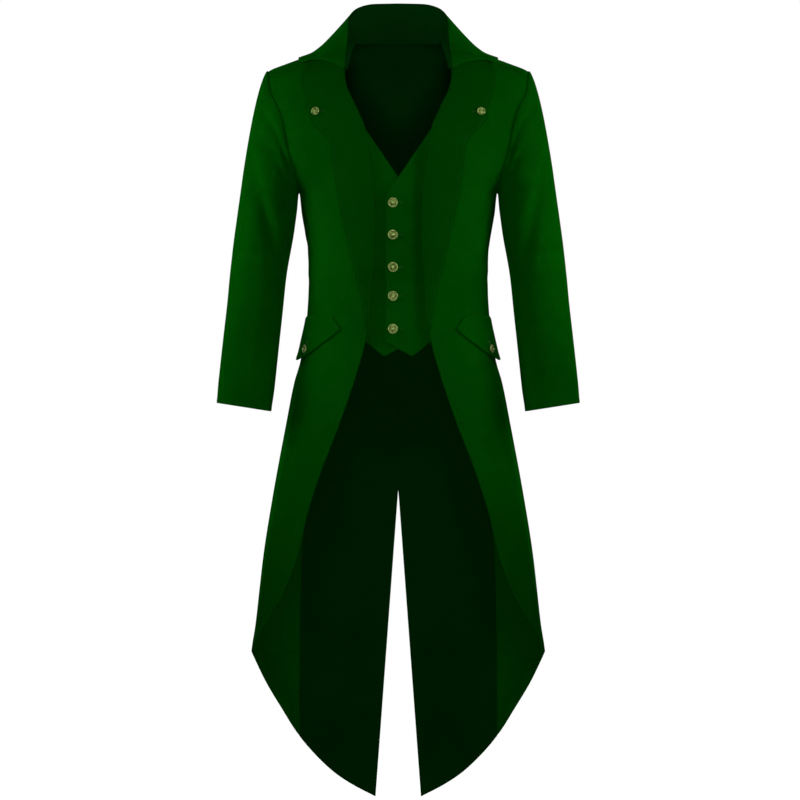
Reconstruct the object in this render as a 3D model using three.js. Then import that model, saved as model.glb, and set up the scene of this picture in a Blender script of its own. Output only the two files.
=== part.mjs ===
// A Victorian-style tailcoat with a waistcoat front sewn into it, filled out as if worn.
// Millimetres, +Z up, the front faces -Y, and the wearer's left is +X.
// The origin lies midway between the shoulders, which carry the coat, just under the neck points.
//
// The body is one imaginary hull, a stack of level oval sections. Every panel of the body is a
// stretch of that hull between two edges, so panels meet at their seams, and what lies on a panel
// is made from the same hull, moved out along its normal.
import * as THREE from 'three';

// Cloth and seams
const CLOTH = 2.0;
const COLLAR_CLOTH = 2.4;
const LINING_CLOTH = 1.2;
const LINING_EASE = 1.6;
const LINING_MARGIN = 3;
const SEAM_GAP = 0.3;
const LAYER = CLOTH + SEAM_GAP;
const EASE = 0.8;

// Heights, from the neck points down
const NECK_Z = 5;
const SHOULDER_Z = -49;
const ARMPIT_Z = -266;
const SIDE_BACK_TOP_Z = -211.75;
const WAIST_Z = -486;
const SKIRT_CORNER_Z = -1091;
const SIDE_BACK_HEM_Z = -1236;
const VENT_TOP_Z = -794;
const TAIL_TIP_Z = -1354;

// Widths, from the middle
const VENT_HALF_GAP = 41;

const SQUARENESS = 2.2;
const HULL = [
  { z: 5, halfWidth: 88, front: 50, back: 62 },
  { z: -15, halfWidth: 146, front: 60, back: 73 },
  { z: -35, halfWidth: 201, front: 69, back: 84 },
  { z: -45, halfWidth: 227, front: 73, back: 90 },
  { z: -49, halfWidth: 233.5, front: 75, back: 92 },
  { z: -55, halfWidth: 239, front: 78, back: 94 },
  { z: -70, halfWidth: 245, front: 84, back: 99 },
  { z: -103, halfWidth: 249, front: 98, back: 108 },
  { z: -155, halfWidth: 245, front: 113, back: 116 },
  { z: -184, halfWidth: 234, front: 119, back: 118 },
  { z: -225, halfWidth: 206, front: 124, back: 117 },
  { z: -266, halfWidth: 177, front: 126, back: 112 },
  { z: -301, halfWidth: 173, front: 124, back: 105 },
  { z: -333, halfWidth: 167.5, front: 120, back: 98 },
  { z: -364, halfWidth: 162.5, front: 115, back: 92 },
  { z: -401, halfWidth: 160.5, front: 111, back: 88 },
  { z: -437, halfWidth: 160.5, front: 109, back: 89 },
  { z: -486, halfWidth: 163, front: 109, back: 95 },
  { z: -529, halfWidth: 169, front: 112, back: 104 },
  { z: -569, halfWidth: 175, front: 116, back: 112 },
  { z: -608, halfWidth: 186, front: 119, back: 118 },
  { z: -685, halfWidth: 201, front: 122, back: 126 },
  { z: -808, halfWidth: 224, front: 121, back: 132 },
  { z: -919, halfWidth: 242, front: 115, back: 136 },
  { z: -1043, halfWidth: 256, front: 104, back: 138 },
  { z: -1091, halfWidth: 263, front: 100, back: 138 },
  { z: -1354, halfWidth: 272, front: 96, back: 136 },
];

// The armhole, and the long edge that runs from the neck down the front, round the cutaway skirt
// and along the hem to the tail's point. Each x is measured from the middle.
const ARMHOLE = [
  { z: -49, x: 233.5 },
  { z: -85, x: 229 },
  { z: -103, x: 220 },
  { z: -126, x: 210 },
  { z: -155, x: 203.5 },
  { z: -184, x: 198 },
  { z: -225, x: 187.5 },
  { z: -266, x: 177 },
];
const FRONT_EDGE = [
  { z: 5, x: 82 },
  { z: -10, x: 87 },
  { z: -30, x: 92 },
  { z: -52, x: 97 },
  { z: -72, x: 94 },
  { z: -110, x: 77.5 },
  { z: -149, x: 61 },
  { z: -192, x: 53.5 },
  { z: -236, x: 47.5 },
  { z: -296, x: 43 },
  { z: -356, x: 43 },
  { z: -415, x: 47 },
  { z: -475, x: 51.5 },
  { z: -532, x: 59 },
  { z: -583, x: 72.5 },
  { z: -675, x: 103 },
  { z: -767, x: 138 },
  { z: -841, x: 162 },
  { z: -929, x: 184 },
  { z: -992, x: 211 },
  { z: -1033, x: 236 },
  { z: -1057, x: 250 },
  { z: -1091, x: 263 },
];
const HEM_EDGE = [
  { z: -1091, x: 263 },
  { z: -1141, x: 240 },
  { z: -1197, x: 209 },
  { z: -1230, x: 190 },
  { z: -1260, x: 168 },
  { z: -1307, x: 120 },
  { z: -1332, x: 83 },
  { z: -1354, x: 41 },
];
const SIDE_BACK_SEAM = [
  { z: -211.75, x: 191 },
  { z: -266, x: 160 },
  { z: -333, x: 138 },
  { z: -401, x: 124 },
  { z: -486, x: 124 },
  { z: -569, x: 136 },
  { z: -700, x: 155 },
  { z: -841, x: 168 },
  { z: -929, x: 177 },
  { z: -1091, x: 181 },
  { z: -1236, x: 182 },
];
const SIDE_SEAM = [
  { z: -266, degrees: 90 },
  { z: -300, degrees: 95 },
  { z: -486, degrees: 99 },
];

// The turned-back front, buttoned at its widest corner
const REVERS_EDGE = [
  { z: -22, x: 132 },
  { z: -36, x: 164 },
  { z: -52, x: 174 },
  { z: -70, x: 175 },
  { z: -86, x: 170 },
  { z: -108, x: 164 },
  { z: -130, x: 160 },
  { z: -142, x: 154 },
  { z: -153, x: 143 },
  { z: -167, x: 129 },
  { z: -180, x: 122 },
  { z: -220, x: 117 },
  { z: -297, x: 104 },
  { z: -387, x: 84 },
  { z: -470, x: 65 },
  { z: -512, x: 60 },
];
const REVERS_TOP_Z = -22;
const REVERS_END_Z = -512;
const REVERS_CORNER_ZS = [-142, -172];

// The sleeve's level sections: centre and half sizes
const SLEEVE = [
  { z: -268, x: 231.5, y: 4, halfWidth: 52.5, halfDepth: 74 },
  { z: -332, x: 240, y: 5, halfWidth: 52.5, halfDepth: 71 },
  { z: -415, x: 252, y: 2, halfWidth: 50, halfDepth: 66 },
  { z: -470, x: 257.5, y: -5, halfWidth: 49.5, halfDepth: 63 },
  { z: -538, x: 265, y: -17, halfWidth: 49.5, halfDepth: 61 },
  { z: -608, x: 272.5, y: -31, halfWidth: 49.5, halfDepth: 59 },
  { z: -652, x: 277.5, y: -40, halfWidth: 48, halfDepth: 57.5 },
];
const CUFF_Z = -652;
const CUFF_SLANT = 7.5;
const CAP_END_Z = -300;
const SLEEVE_COLUMNS = 24;
const SLEEVE_HEAD_LAP = 2;
const FORE_SEAM_DEGREES = 240;
const HIND_SEAM_DEGREES = 120;

// Folds pressed into the cloth of the sleeve: from one place to the other, each place an angle round
// the sleeve and a height. Outside is 0 degrees, the back 90, the body side 180 and the front 270.
const SLEEVE_FOLDS = [
  { fromAngle: 318, fromZ: -135, toAngle: 236, toZ: -232, depth: 7, width: 15 },
  { fromAngle: 306, fromZ: -225, toAngle: 236, toZ: -420, depth: 7, width: 17 },
  { fromAngle: 60, fromZ: -150, toAngle: 128, toZ: -240, depth: 6, width: 16 },
  { fromAngle: 100, fromZ: -330, toAngle: 160, toZ: -430, depth: 4, width: 16 },
];

// The collar, half of it, from the middle of the back to its front end: the roll line, the sag of
// the fall below it, and the fall's outer edge
const COLLAR = [
  { at: 0, roll: [0, 70, 74.5], sag: [0, 87, 44], edge: [0, 93, -18] },
  { at: 0.2, roll: [43, 62, 73.5], sag: [53, 82, 44], edge: [66, 90, -20] },
  { at: 0.36, roll: [70.5, 44, 67], sag: [94, 64, 36], edge: [122, 74, -24] },
  { at: 0.52, roll: [88, 18, 48], sag: [121, 32, 14], edge: [166, 42, -24] },
  { at: 0.7, roll: [91.5, -12, 23], sag: [123, -4, 4], edge: [182, 2, -24] },
  { at: 0.86, roll: [93.5, -44, -8], sag: [124, -36, -12], edge: [181, -24, -28] },
  { at: 1, roll: [96.5, -69, -43], sag: [122, -58, -24], edge: [173, -38, -34] },
];
const COLLAR_FOLD_RADIUS = 3.2;
const COLLAR_END_Z = -46;
const COLLAR_JOINT_GAP = 1.4;
const COLLAR_STAND_STEPS = 3;
const COLLAR_FALL_STEPS = 6;

// The waistcoat front
const WAISTCOAT_INSET = 8;
const WAISTCOAT_OVERLAP = 23;
const WAISTCOAT_REACH = 104;
const WAISTCOAT_V_Z = -238;
const WAISTCOAT_V_SLOPE = 1.47;
const WAISTCOAT_HEM = [
  { x: -WAISTCOAT_OVERLAP, z: -534 },
  { x: 0, z: -547 },
  { x: 20, z: -557.5 },
  { x: 25, z: -560.5 },
  { x: 30, z: -557 },
  { x: 59, z: -534 },
  { x: WAISTCOAT_REACH, z: -500 },
];
const WAISTCOAT_COLUMNS = [-WAISTCOAT_OVERLAP, -11, 0, 12, 25, 42, 59, 80, WAISTCOAT_REACH];

// The hip pocket's flap, round the side from front to back, and how far it hangs
const FLAP = [
  { degrees: 45, drop: 25 },
  { degrees: 53, drop: 46 },
  { degrees: 64, drop: 68 },
  { degrees: 82, drop: 83 },
  { degrees: 96, drop: 80 },
  { degrees: 112, drop: 60 },
  { degrees: 128, drop: 40 },
  { degrees: 138, drop: 26 },
];
const FLAP_STAND_OFF = 6;
const FLAP_FRONT_SLANT_DEGREES = 9;

// Buttons
const BUTTON_LARGE = 18;
const BUTTON_SMALL = 15;
const WAISTCOAT_BUTTON_X = -9.5;
const WAISTCOAT_BUTTON_ZS = [-284, -342, -400, -452, -511];
const REVERS_BUTTON = { x: 147.5, z: -121 };
const FLAP_BUTTON = { degrees: 69, drop: 62 };

const COLOURS = {
  cloth: 0x003c02,
  facing: 0x003302,
  lining: 0x011903,
  brass: 0x6b6a2e,
};

const radians = THREE.MathUtils.degToRad;
const mix = THREE.MathUtils.lerp;
const smooth = (t) => THREE.MathUtils.smoothstep(t, 0, 1);

// A smooth curve through one column of a table, with no overshoot between its rows
function curve(table, column, key = 'z') {
  const rows = [...table].sort((a, b) => a[key] - b[key]);
  const at = rows.map((row) => row[key]);
  const value = rows.map((row) => row[column]);
  const secant = at.slice(1).map((x, i) => (value[i + 1] - value[i]) / (x - at[i]));
  const slope = value.map((_, i) => {
    if (i === 0) return secant[0];
    if (i === value.length - 1) return secant[i - 1];
    const product = secant[i - 1] * secant[i];
    return product <= 0 ? 0 : (2 * product) / (secant[i - 1] + secant[i]);
  });
  return (x) => {
    const clamped = THREE.MathUtils.clamp(x, at[0], at[at.length - 1]);
    let i = 0;
    while (i < secant.length - 1 && clamped > at[i + 1]) i += 1;
    const span = at[i + 1] - at[i];
    const t = (clamped - at[i]) / span;
    const t2 = t * t;
    const t3 = t2 * t;
    return (
      (2 * t3 - 3 * t2 + 1) * value[i] +
      (t3 - 2 * t2 + t) * span * slope[i] +
      (3 * t2 - 2 * t3) * value[i + 1] +
      (t3 - t2) * span * slope[i + 1]
    );
  };
}

const hull = {
  halfWidth: curve(HULL, 'halfWidth'),
  front: curve(HULL, 'front'),
  back: curve(HULL, 'back'),
};
const armholeX = curve(ARMHOLE, 'x');
const frontEdgeX = curve(FRONT_EDGE, 'x');
const hemEdgeX = curve(HEM_EDGE, 'x');
const sideBackX = curve(SIDE_BACK_SEAM, 'x');
const sideSeamDegrees = curve(SIDE_SEAM, 'degrees');
const reversEdgeX = curve(REVERS_EDGE, 'x');

// How far outside the hull a point is, as a share: 1 on the hull, more outside it
function hullLevel(p) {
  const depth = p.y < 0 ? hull.front(p.z) : hull.back(p.z);
  const across = Math.abs(p.x) / hull.halfWidth(p.z);
  return across ** SQUARENESS + (Math.abs(p.y) / depth) ** SQUARENESS;
}

// The direction in which that share grows fastest, not yet of unit length
function hullGradient(p) {
  const step = 0.5;
  const change = (axis) => {
    const ahead = p.clone();
    const behind = p.clone();
    ahead[axis] += step;
    behind[axis] -= step;
    return (hullLevel(ahead) - hullLevel(behind)) / (2 * step);
  };
  return new THREE.Vector3(change('x'), change('y'), change('z'));
}

function hullNormal(p) {
  return hullGradient(p).normalize();
}

// A point of the hull at an angle round it: 0 is the middle of the front, 180 of the back
function hullPoint(degrees, z) {
  const angle = radians(degrees);
  const power = 2 / SQUARENESS;
  const depth = degrees < 90 ? -hull.front(z) : hull.back(z);
  const x = hull.halfWidth(z) * Math.sin(angle) ** power;
  const y = depth * Math.abs(Math.cos(angle)) ** power;
  return new THREE.Vector3(x, y, z);
}

// The angle at which the hull is x wide, on its front or its back half
function hullDegrees(x, z, half) {
  const share = Math.min(1, Math.max(0, x) / hull.halfWidth(z));
  const degrees = THREE.MathUtils.radToDeg(Math.asin(share ** (SQUARENESS / 2)));
  return half === 'front' ? degrees : 180 - degrees;
}

// Moves a point out along the hull's normal until it is that far outside the hull
function liftOff(p, distance) {
  const lifted = p.clone();
  for (let round = 0; round < 6; round += 1) {
    const gradient = hullGradient(lifted);
    const outside = (hullLevel(lifted) - 1) / gradient.length();
    if (outside < distance) lifted.addScaledVector(gradient.normalize(), distance - outside);
  }
  return lifted;
}

// A wall of cloth: a grid of places in the middle of the wall, each with the wall's normal there
function wallGeometry(grid, thickness) {
  const rows = grid.length;
  const columns = grid[0].length;
  const positions = [];
  [0.5, -0.5].forEach((side) => {
    grid.flat().forEach(({ p, n }) => {
      positions.push(...p.clone().addScaledVector(n, side * thickness).toArray());
    });
  });
  const outer = (row, column) => row * columns + column;
  const inner = (row, column) => rows * columns + outer(row, column);
  const index = [];
  const quad = (a, b, c, d) => index.push(a, b, c, a, c, d);
  for (let r = 0; r < rows - 1; r += 1) {
    for (let c = 0; c < columns - 1; c += 1) {
      quad(outer(r, c), outer(r, c + 1), outer(r + 1, c + 1), outer(r + 1, c));
      quad(inner(r, c), inner(r + 1, c), inner(r + 1, c + 1), inner(r, c + 1));
    }
  }
  const rim = [];
  for (let c = 0; c < columns; c += 1) rim.push([0, c]);
  for (let r = 1; r < rows; r += 1) rim.push([r, columns - 1]);
  for (let c = columns - 2; c >= 0; c -= 1) rim.push([rows - 1, c]);
  for (let r = rows - 2; r > 0; r -= 1) rim.push([r, 0]);
  rim.forEach((place, i) => {
    const next = rim[(i + 1) % rim.length];
    quad(outer(...next), outer(...place), inner(...place), inner(...next));
  });
  const geometry = new THREE.BufferGeometry();
  geometry.setAttribute('position', new THREE.Float32BufferAttribute(positions, 3));
  geometry.setIndex(index);
  return signedVolume(geometry) < 0 ? turnedInsideOut(geometry) : geometry;
}

function signedVolume(geometry) {
  const position = geometry.getAttribute('position');
  const index = geometry.getIndex();
  const corner = (i) => new THREE.Vector3().fromBufferAttribute(position, index.getX(i));
  let volume = 0;
  for (let i = 0; i < index.count; i += 3) {
    volume += corner(i).dot(corner(i + 1).cross(corner(i + 2))) / 6;
  }
  return volume;
}

function turnedInsideOut(geometry) {
  const index = Array.from(geometry.getIndex().array);
  for (let i = 0; i < index.length; i += 3) {
    [index[i + 1], index[i + 2]] = [index[i + 2], index[i + 1]];
  }
  geometry.setIndex(index);
  return geometry;
}

function mirrored(geometry) {
  return turnedInsideOut(geometry.clone().applyMatrix4(new THREE.Matrix4().makeScale(-1, 1, 1)));
}

// Draws a grid's outermost places in by half a seam's gap, square to each edge
const ALL_SIDES = { first: true, last: true, start: true, end: true };

function drawnIn(grid, sides = ALL_SIDES, gap = SEAM_GAP) {
  const rows = grid.length;
  const columns = grid[0].length;
  const shift = grid.map((row) => row.map(() => new THREE.Vector3()));
  const draw = (r, c, dr, dc) => {
    const here = grid[r][c].p;
    const inward = grid[r + dr][c + dc].p.clone().sub(here);
    const before = grid[Math.max(0, r - Math.abs(dc))][Math.max(0, c - Math.abs(dr))].p;
    const lastRow = Math.min(rows - 1, r + Math.abs(dc));
    const after = grid[lastRow][Math.min(columns - 1, c + Math.abs(dr))].p;
    const along = after.clone().sub(before).normalize();
    inward.addScaledVector(along, -inward.dot(along)).normalize();
    shift[r][c].addScaledVector(inward, gap / 2);
  };
  for (let r = 0; r < rows; r += 1) {
    if (sides.start) draw(r, 0, 0, 1);
    if (sides.end) draw(r, columns - 1, 0, -1);
  }
  for (let c = 0; c < columns; c += 1) {
    if (sides.first) draw(0, c, 1, 0);
    if (sides.last) draw(rows - 1, c, -1, 0);
  }
  return grid.map((row, r) => row.map(({ p, n }, c) => ({ p: p.clone().add(shift[r][c]), n })));
}

// The heights of the rows. Down the armhole they follow the sleeve's columns.
function spread(from, to, count) {
  return Array.from({ length: count + 1 }, (_, i) => mix(from, to, i / count));
}

function armholeZ(degrees) {
  const middle = (SHOULDER_Z + ARMPIT_Z) / 2;
  return middle + ((SHOULDER_Z - ARMPIT_Z) / 2) * Math.cos(radians(degrees));
}

const SHOULDER_LEVELS = spread(NECK_Z, SHOULDER_Z, 5).slice(0, -1);
const ARMHOLE_LEVELS = spread(0, 180, SLEEVE_COLUMNS / 2).map(armholeZ);
const CHEST_LEVELS = spread(ARMPIT_Z, WAIST_Z, 6).slice(1);
const SKIRT_LEVELS = [
  ...spread(WAIST_Z, -992, 10).slice(1),
  ...spread(-992, SKIRT_CORNER_Z, 4).slice(1),
  ...spread(SKIRT_CORNER_Z, SIDE_BACK_HEM_Z, 4).slice(1),
];
const TAIL_LEVELS = spread(SIDE_BACK_HEM_Z, TAIL_TIP_Z + 4, 5).slice(1);
const SIDE_BODY_TOP_Z = SIDE_BACK_TOP_Z - 3;
const FORE_LEVELS = [...SHOULDER_LEVELS, ...ARMHOLE_LEVELS, SIDE_BODY_TOP_Z, ...CHEST_LEVELS];
FORE_LEVELS.sort((a, b) => b - a);
const BACK_LEVELS = [...FORE_LEVELS, ...SKIRT_LEVELS, ...TAIL_LEVELS];

const belowArmhole = (z) => z <= ARMPIT_Z + 0.01;
const aboveShoulder = (z) => z >= SHOULDER_Z - 0.01;

// The edges of the panels, each as the angle round the hull at a height
const edges = {
  front: (z) => hullDegrees(frontEdgeX(z), z, 'front'),
  hem: (z) => hullDegrees(hemEdgeX(z), z, 'back'),
  sideBack: (z) => hullDegrees(sideBackX(z), z, 'back'),
  armholeFront: (z) => hullDegrees(armholeX(z), z, 'front'),
  armholeBack: (z) => hullDegrees(armholeX(z), z, 'back'),
  centreBack: (z) => hullDegrees(ventX(z), z, 'back'),
  sideSeam: (z) => sideSeamDegrees(z),
  shoulder: () => 90,
};

function ventX(z) {
  return VENT_HALF_GAP * Math.max(0, (VENT_TOP_Z - z) / (VENT_TOP_Z - TAIL_TIP_Z));
}

function foreEdge(z) {
  return z < SKIRT_CORNER_Z ? edges.hem(z) : edges.front(z);
}

function foreSide(z) {
  if (belowArmhole(z)) return edges.sideSeam(z);
  return aboveShoulder(z) ? edges.shoulder(z) : edges.armholeFront(z);
}

function backSide(z) {
  if (z < SIDE_BACK_HEM_Z) return edges.hem(z);
  if (z <= SIDE_BACK_TOP_Z + 0.1) return edges.sideBack(z);
  return aboveShoulder(z) ? edges.shoulder(z) : edges.armholeBack(z);
}

function sideBodyFront(z) {
  return belowArmhole(z) ? edges.sideSeam(z) : edges.armholeBack(z);
}

// The slow waves in which the skirts hang, deeper towards the hem
function hang(degrees, z) {
  const fall = THREE.MathUtils.clamp((WAIST_Z - z) / (WAIST_Z - TAIL_TIP_Z), 0, 1);
  const waves = Math.sin(radians(degrees * 4.6 - 20)) + 0.5 * Math.sin(radians(degrees * 9 + 35));
  const quiet = smooth(Math.abs(degrees - 90) / 22);
  return 5 * fall * waves * quiet;
}

function hullPlace(degrees, z, lift = 0) {
  const p = hullPoint(degrees, z);
  const n = hullNormal(p);
  p.addScaledVector(n, lift + hang(degrees, z));
  return { p, n };
}

// A panel of the body: level rows between two edges, moved out from the hull by lift
function bodyPanel({ levels, from, to, columns, lift = () => 0 }) {
  return levels.map((z) => {
    const start = from(z);
    const end = to(z);
    return spread(0, 1, columns).map((u) => hullPlace(mix(start, end, u), z, lift(u, z)));
  });
}

function forepart() {
  return bodyPanel({ levels: FORE_LEVELS, from: foreEdge, to: foreSide, columns: 7 });
}

function sideBody() {
  const levels = FORE_LEVELS.filter((z) => z < SIDE_BACK_TOP_Z - 1);
  return bodyPanel({ levels, from: sideBodyFront, to: edges.sideBack, columns: 4 });
}

function backPanel() {
  return bodyPanel({ levels: BACK_LEVELS, from: edges.centreBack, to: backSide, columns: 5 });
}

function skirt() {
  const levels = [WAIST_Z, ...SKIRT_LEVELS.slice(0, -1), SIDE_BACK_HEM_Z + 6];
  return bodyPanel({ levels, from: foreEdge, to: edges.sideBack, columns: 8 });
}

// The lining inside the back lies a little in from the panel's outer edges and from the vent
function backLining() {
  const depth = -(CLOTH / 2 + LINING_EASE + LINING_CLOTH / 2);
  const inFrom = (edge, margin) => (z) => {
    const degreesPerMm = 180 / (Math.PI * hull.halfWidth(z));
    return edge(z) + margin * degreesPerMm;
  };
  const fromCentre = (z) => {
    const openVent = smooth((VENT_TOP_Z - z) / 60);
    return inFrom(edges.centreBack, -LINING_MARGIN * openVent)(z);
  };
  const levels = [...BACK_LEVELS.slice(1, -1), TAIL_TIP_Z + 14];
  const to = inFrom(backSide, LINING_MARGIN);
  return bodyPanel({ levels, from: fromCentre, to, columns: 4, lift: () => depth });
}

// The revers lies on the forepart and rolls away from it a little towards its free edge
function revers() {
  const under = FORE_LEVELS.filter((z) => z < REVERS_TOP_Z && z > REVERS_END_Z);
  const levels = [REVERS_TOP_Z, ...under, ...REVERS_CORNER_ZS, REVERS_END_Z].sort((a, b) => b - a);
  const to = (z) => hullDegrees(reversEdgeX(z), z, 'front');
  const lift = (u) => LAYER + EASE + 0.8 * Math.sin(Math.PI * Math.min(1, u * 1.2));
  return bodyPanel({ levels, from: foreEdge, to, columns: 4, lift });
}

// The armhole as the sleeve sees it, by the angle round the sleeve
function armholePlace(degrees) {
  const wrapped = ((degrees % 360) + 360) % 360;
  const z = armholeZ(wrapped);
  const half = wrapped > 180 ? 'front' : 'back';
  const p = hullPoint(hullDegrees(armholeX(z), z, half), z);
  return { p, n: hullNormal(p) };
}

const sleeveSection = {
  x: curve(SLEEVE, 'x'),
  y: curve(SLEEVE, 'y'),
  halfWidth: curve(SLEEVE, 'halfWidth'),
  halfDepth: curve(SLEEVE, 'halfDepth'),
};

function sleeveRing(degrees, z) {
  const angle = radians(degrees);
  const slant = CUFF_SLANT * smooth((CAP_END_Z - z) / (CAP_END_Z - CUFF_Z));
  return new THREE.Vector3(
    sleeveSection.x(z) + sleeveSection.halfWidth(z) * Math.cos(angle),
    sleeveSection.y(z) + sleeveSection.halfDepth(z) * Math.sin(angle),
    z + slant * Math.cos(angle),
  );
}

// The sleeve's middle surface with no folds. Along it, 0 to 1 is the cap, from the armhole to the
// first level ring, and 1 to 2 is the rest, down to the cuff.
function sleeveSmooth(degrees, along) {
  if (along > 1) return sleeveRing(degrees, mix(CAP_END_Z, CUFF_Z, along - 1));
  const { p, n } = armholePlace(degrees);
  const end = sleeveRing(degrees, CAP_END_Z);
  const angle = radians(degrees);
  const reach = p.distanceTo(end);
  const leaving = new THREE.Vector3(
    0.42 + 0.18 * Math.cos(angle),
    0.3 * Math.sin(angle),
    -0.82 + 0.04 * Math.cos(angle),
  );
  const start = p.addScaledVector(n, LAYER + EASE).addScaledVector(leaving, -SLEEVE_HEAD_LAP);
  leaving.multiplyScalar(0.45 * reach);
  const arriving = new THREE.Vector3(0.14, 0, -0.99).multiplyScalar(0.8 * reach);
  const t = Math.max(0, along);
  const t2 = t * t;
  const t3 = t2 * t;
  return new THREE.Vector3()
    .addScaledVector(start, 2 * t3 - 3 * t2 + 1)
    .addScaledVector(leaving, t3 - 2 * t2 + t)
    .addScaledVector(end, 3 * t2 - 2 * t3)
    .addScaledVector(arriving, t3 - t2);
}

// How deep the folds press the sleeve in at a place
function sleeveFold(degrees, z) {
  const girth = 0.95;
  return SLEEVE_FOLDS.reduce((sum, fold) => {
    const across = (angle) => ((((angle - degrees + 540) % 360) + 360) % 360) - 180;
    const ax = across(fold.fromAngle) * girth;
    const az = fold.fromZ - z;
    const bx = across(fold.toAngle) * girth;
    const bz = fold.toZ - z;
    const length2 = (bx - ax) ** 2 + (bz - az) ** 2;
    const t = THREE.MathUtils.clamp(-(ax * (bx - ax) + az * (bz - az)) / length2, 0, 1);
    const distance = Math.hypot(mix(ax, bx, t), mix(az, bz, t));
    const fade = Math.sin(Math.PI * mix(0.12, 0.88, t));
    return sum + fold.depth * fade * Math.exp(-((distance / fold.width) ** 2));
  }, 0);
}

function sleevePlace(degrees, along) {
  const step = 0.002;
  const p = sleeveSmooth(degrees, along);
  const round = sleeveSmooth(degrees + 0.5, along).sub(sleeveSmooth(degrees - 0.5, along));
  const ahead = Math.min(2, along + step);
  const down = sleeveSmooth(degrees, ahead).sub(sleeveSmooth(degrees, ahead - 2 * step));
  const n = down.cross(round).normalize();
  const settled = smooth(along / 0.25);
  p.addScaledVector(n, -sleeveFold(degrees, p.z) * settled);
  return { p, n };
}

function sleevePart(fromDegrees, toDegrees) {
  const rows = [0, 0.05, 0.15, 0.3, 0.48, 0.66, 0.84, ...spread(1, 2, 9)];
  const columns = Math.round((Math.abs(toDegrees - fromDegrees) * SLEEVE_COLUMNS) / 360);
  const angles = spread(fromDegrees, toDegrees, columns);
  const grid = rows.map((along) => angles.map((angle) => sleevePlace(angle, along)));
  return drawnIn(grid, { start: true, end: true });
}

// The collar stands up from the neck seam, rolls over, and falls outside. Each of its columns is one
// path from the seam over the roll to the outer edge. The stand is its first part, the fall the rest.
function neckSeam(at) {
  const backShare = 0.66;
  if (at < backShare) return hullPoint(mix(180, 96, at / backShare), NECK_Z);
  const z = mix(NECK_Z, COLLAR_END_Z, ((at - backShare) / (1 - backShare)) ** 1.2);
  return hullPoint(edges.front(z), z);
}

function collarColumn(name) {
  const axes = [0, 1, 2].map((axis) => {
    const table = COLLAR.map((row) => ({ at: row.at, value: row[name][axis] }));
    return curve(table, 'value', 'at');
  });
  return (at) => new THREE.Vector3(...axes.map((axis) => axis(at)));
}

const collarRoll = collarColumn('roll');
const collarSag = collarColumn('sag');
const collarEdge = collarColumn('edge');

function collarPath(at) {
  const frontness = smooth((at - 0.5) / 0.4);
  const clearance = CLOTH / 2 + SEAM_GAP + COLLAR_CLOTH / 2 + 0.4 * EASE;
  const overRevers = clearance + LAYER + 2 * EASE + 0.6;
  const lift = mix(clearance, overRevers, smooth((at - 0.68) / 0.14));
  const seam = neckSeam(at);
  const inward = new THREE.Vector3(-seam.x, -seam.y * (1 - frontness), 0).normalize();
  seam.addScaledVector(inward, clearance + 1.2 * frontness).setZ(seam.z + SEAM_GAP);
  const roll = liftOff(collarRoll(at), lift);
  const edge = collarEdge(at);
  const outward = edge.clone().sub(seam).setZ(0).normalize();
  const radius = Math.min(COLLAR_FOLD_RADIUS, 0.4 * roll.distanceTo(seam));
  const beside = (distance) =>
    roll.clone().addScaledVector(outward, distance).add(new THREE.Vector3(0, 0, -radius));
  const inside = beside(-radius);
  const outside = beside(radius);
  const sag = collarSag(at);
  const stand = spread(0, 1, COLLAR_STAND_STEPS).slice(1).map((t) => {
    const over = inside.x > neckSeam(at).x - clearance && at > 0.6;
    const up = seam.clone().lerp(inside, t);
    return over ? liftOff(up, lift) : up;
  });
  const fall = spread(0, 1, COLLAR_FALL_STEPS).map((t) => {
    const down = outside.clone().lerp(sag, t);
    return liftOff(down.lerp(sag.clone().lerp(edge, t), t), lift);
  });
  return [seam, ...stand, roll, ...fall];
}

function collar() {
  const half = spread(0, 1, 12).map(collarPath);
  const flipped = half.slice(1).map((row) => row.map((p) => new THREE.Vector3(-p.x, p.y, p.z)));
  return withNormals([...flipped.reverse(), ...half]);
}

// Gives each place of a grid the normal of the surface through its neighbours
function withNormals(rows) {
  const pick = (r, c) => {
    const row = rows[Math.min(rows.length - 1, Math.max(0, r))];
    return row[Math.min(row.length - 1, Math.max(0, c))];
  };
  return rows.map((row, r) =>
    row.map((p, c) => {
      const along = pick(r + 1, c).clone().sub(pick(r - 1, c));
      const across = pick(r, c + 1).clone().sub(pick(r, c - 1));
      return { p, n: along.cross(across).normalize() };
    }),
  );
}

// The waistcoat's front lies inside the foreparts and comes out to meet them at its outer edge.
// The wearer's left front laps over the right one.
function waistcoatPoint(x, z, lift) {
  const outer = smooth((Math.abs(x) - 50) / (WAISTCOAT_REACH - 54));
  const inset = mix(WAISTCOAT_INSET, LAYER + 1.4 * EASE, outer);
  const p = hullPoint(hullDegrees(Math.abs(x), z, 'front'), z);
  const n = hullNormal(p);
  p.addScaledVector(n, lift - inset);
  p.x *= Math.sign(x) || 1;
  n.x *= Math.sign(x) || 1;
  return { p, n };
}

const waistcoatHemZ = curve(WAISTCOAT_HEM, 'z', 'x');

function waistcoatLap(outward) {
  return (LAYER + EASE) * (1 - smooth((outward - 26) / 20));
}

function waistcoatFront(sign, lap) {
  const rows = spread(0, 1, 12);
  return rows.map((v) =>
    WAISTCOAT_COLUMNS.map((outward) => {
      const top = WAISTCOAT_V_Z + WAISTCOAT_V_SLOPE * outward;
      const z = mix(waistcoatHemZ(outward), top, v);
      return waistcoatPoint(sign * outward, z, lap ? waistcoatLap(outward) : 0);
    }),
  );
}

// The pocket flap hangs from the waist seam and stands off the skirt towards its point
const flapDrop = curve(FLAP, 'drop', 'degrees');

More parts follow.
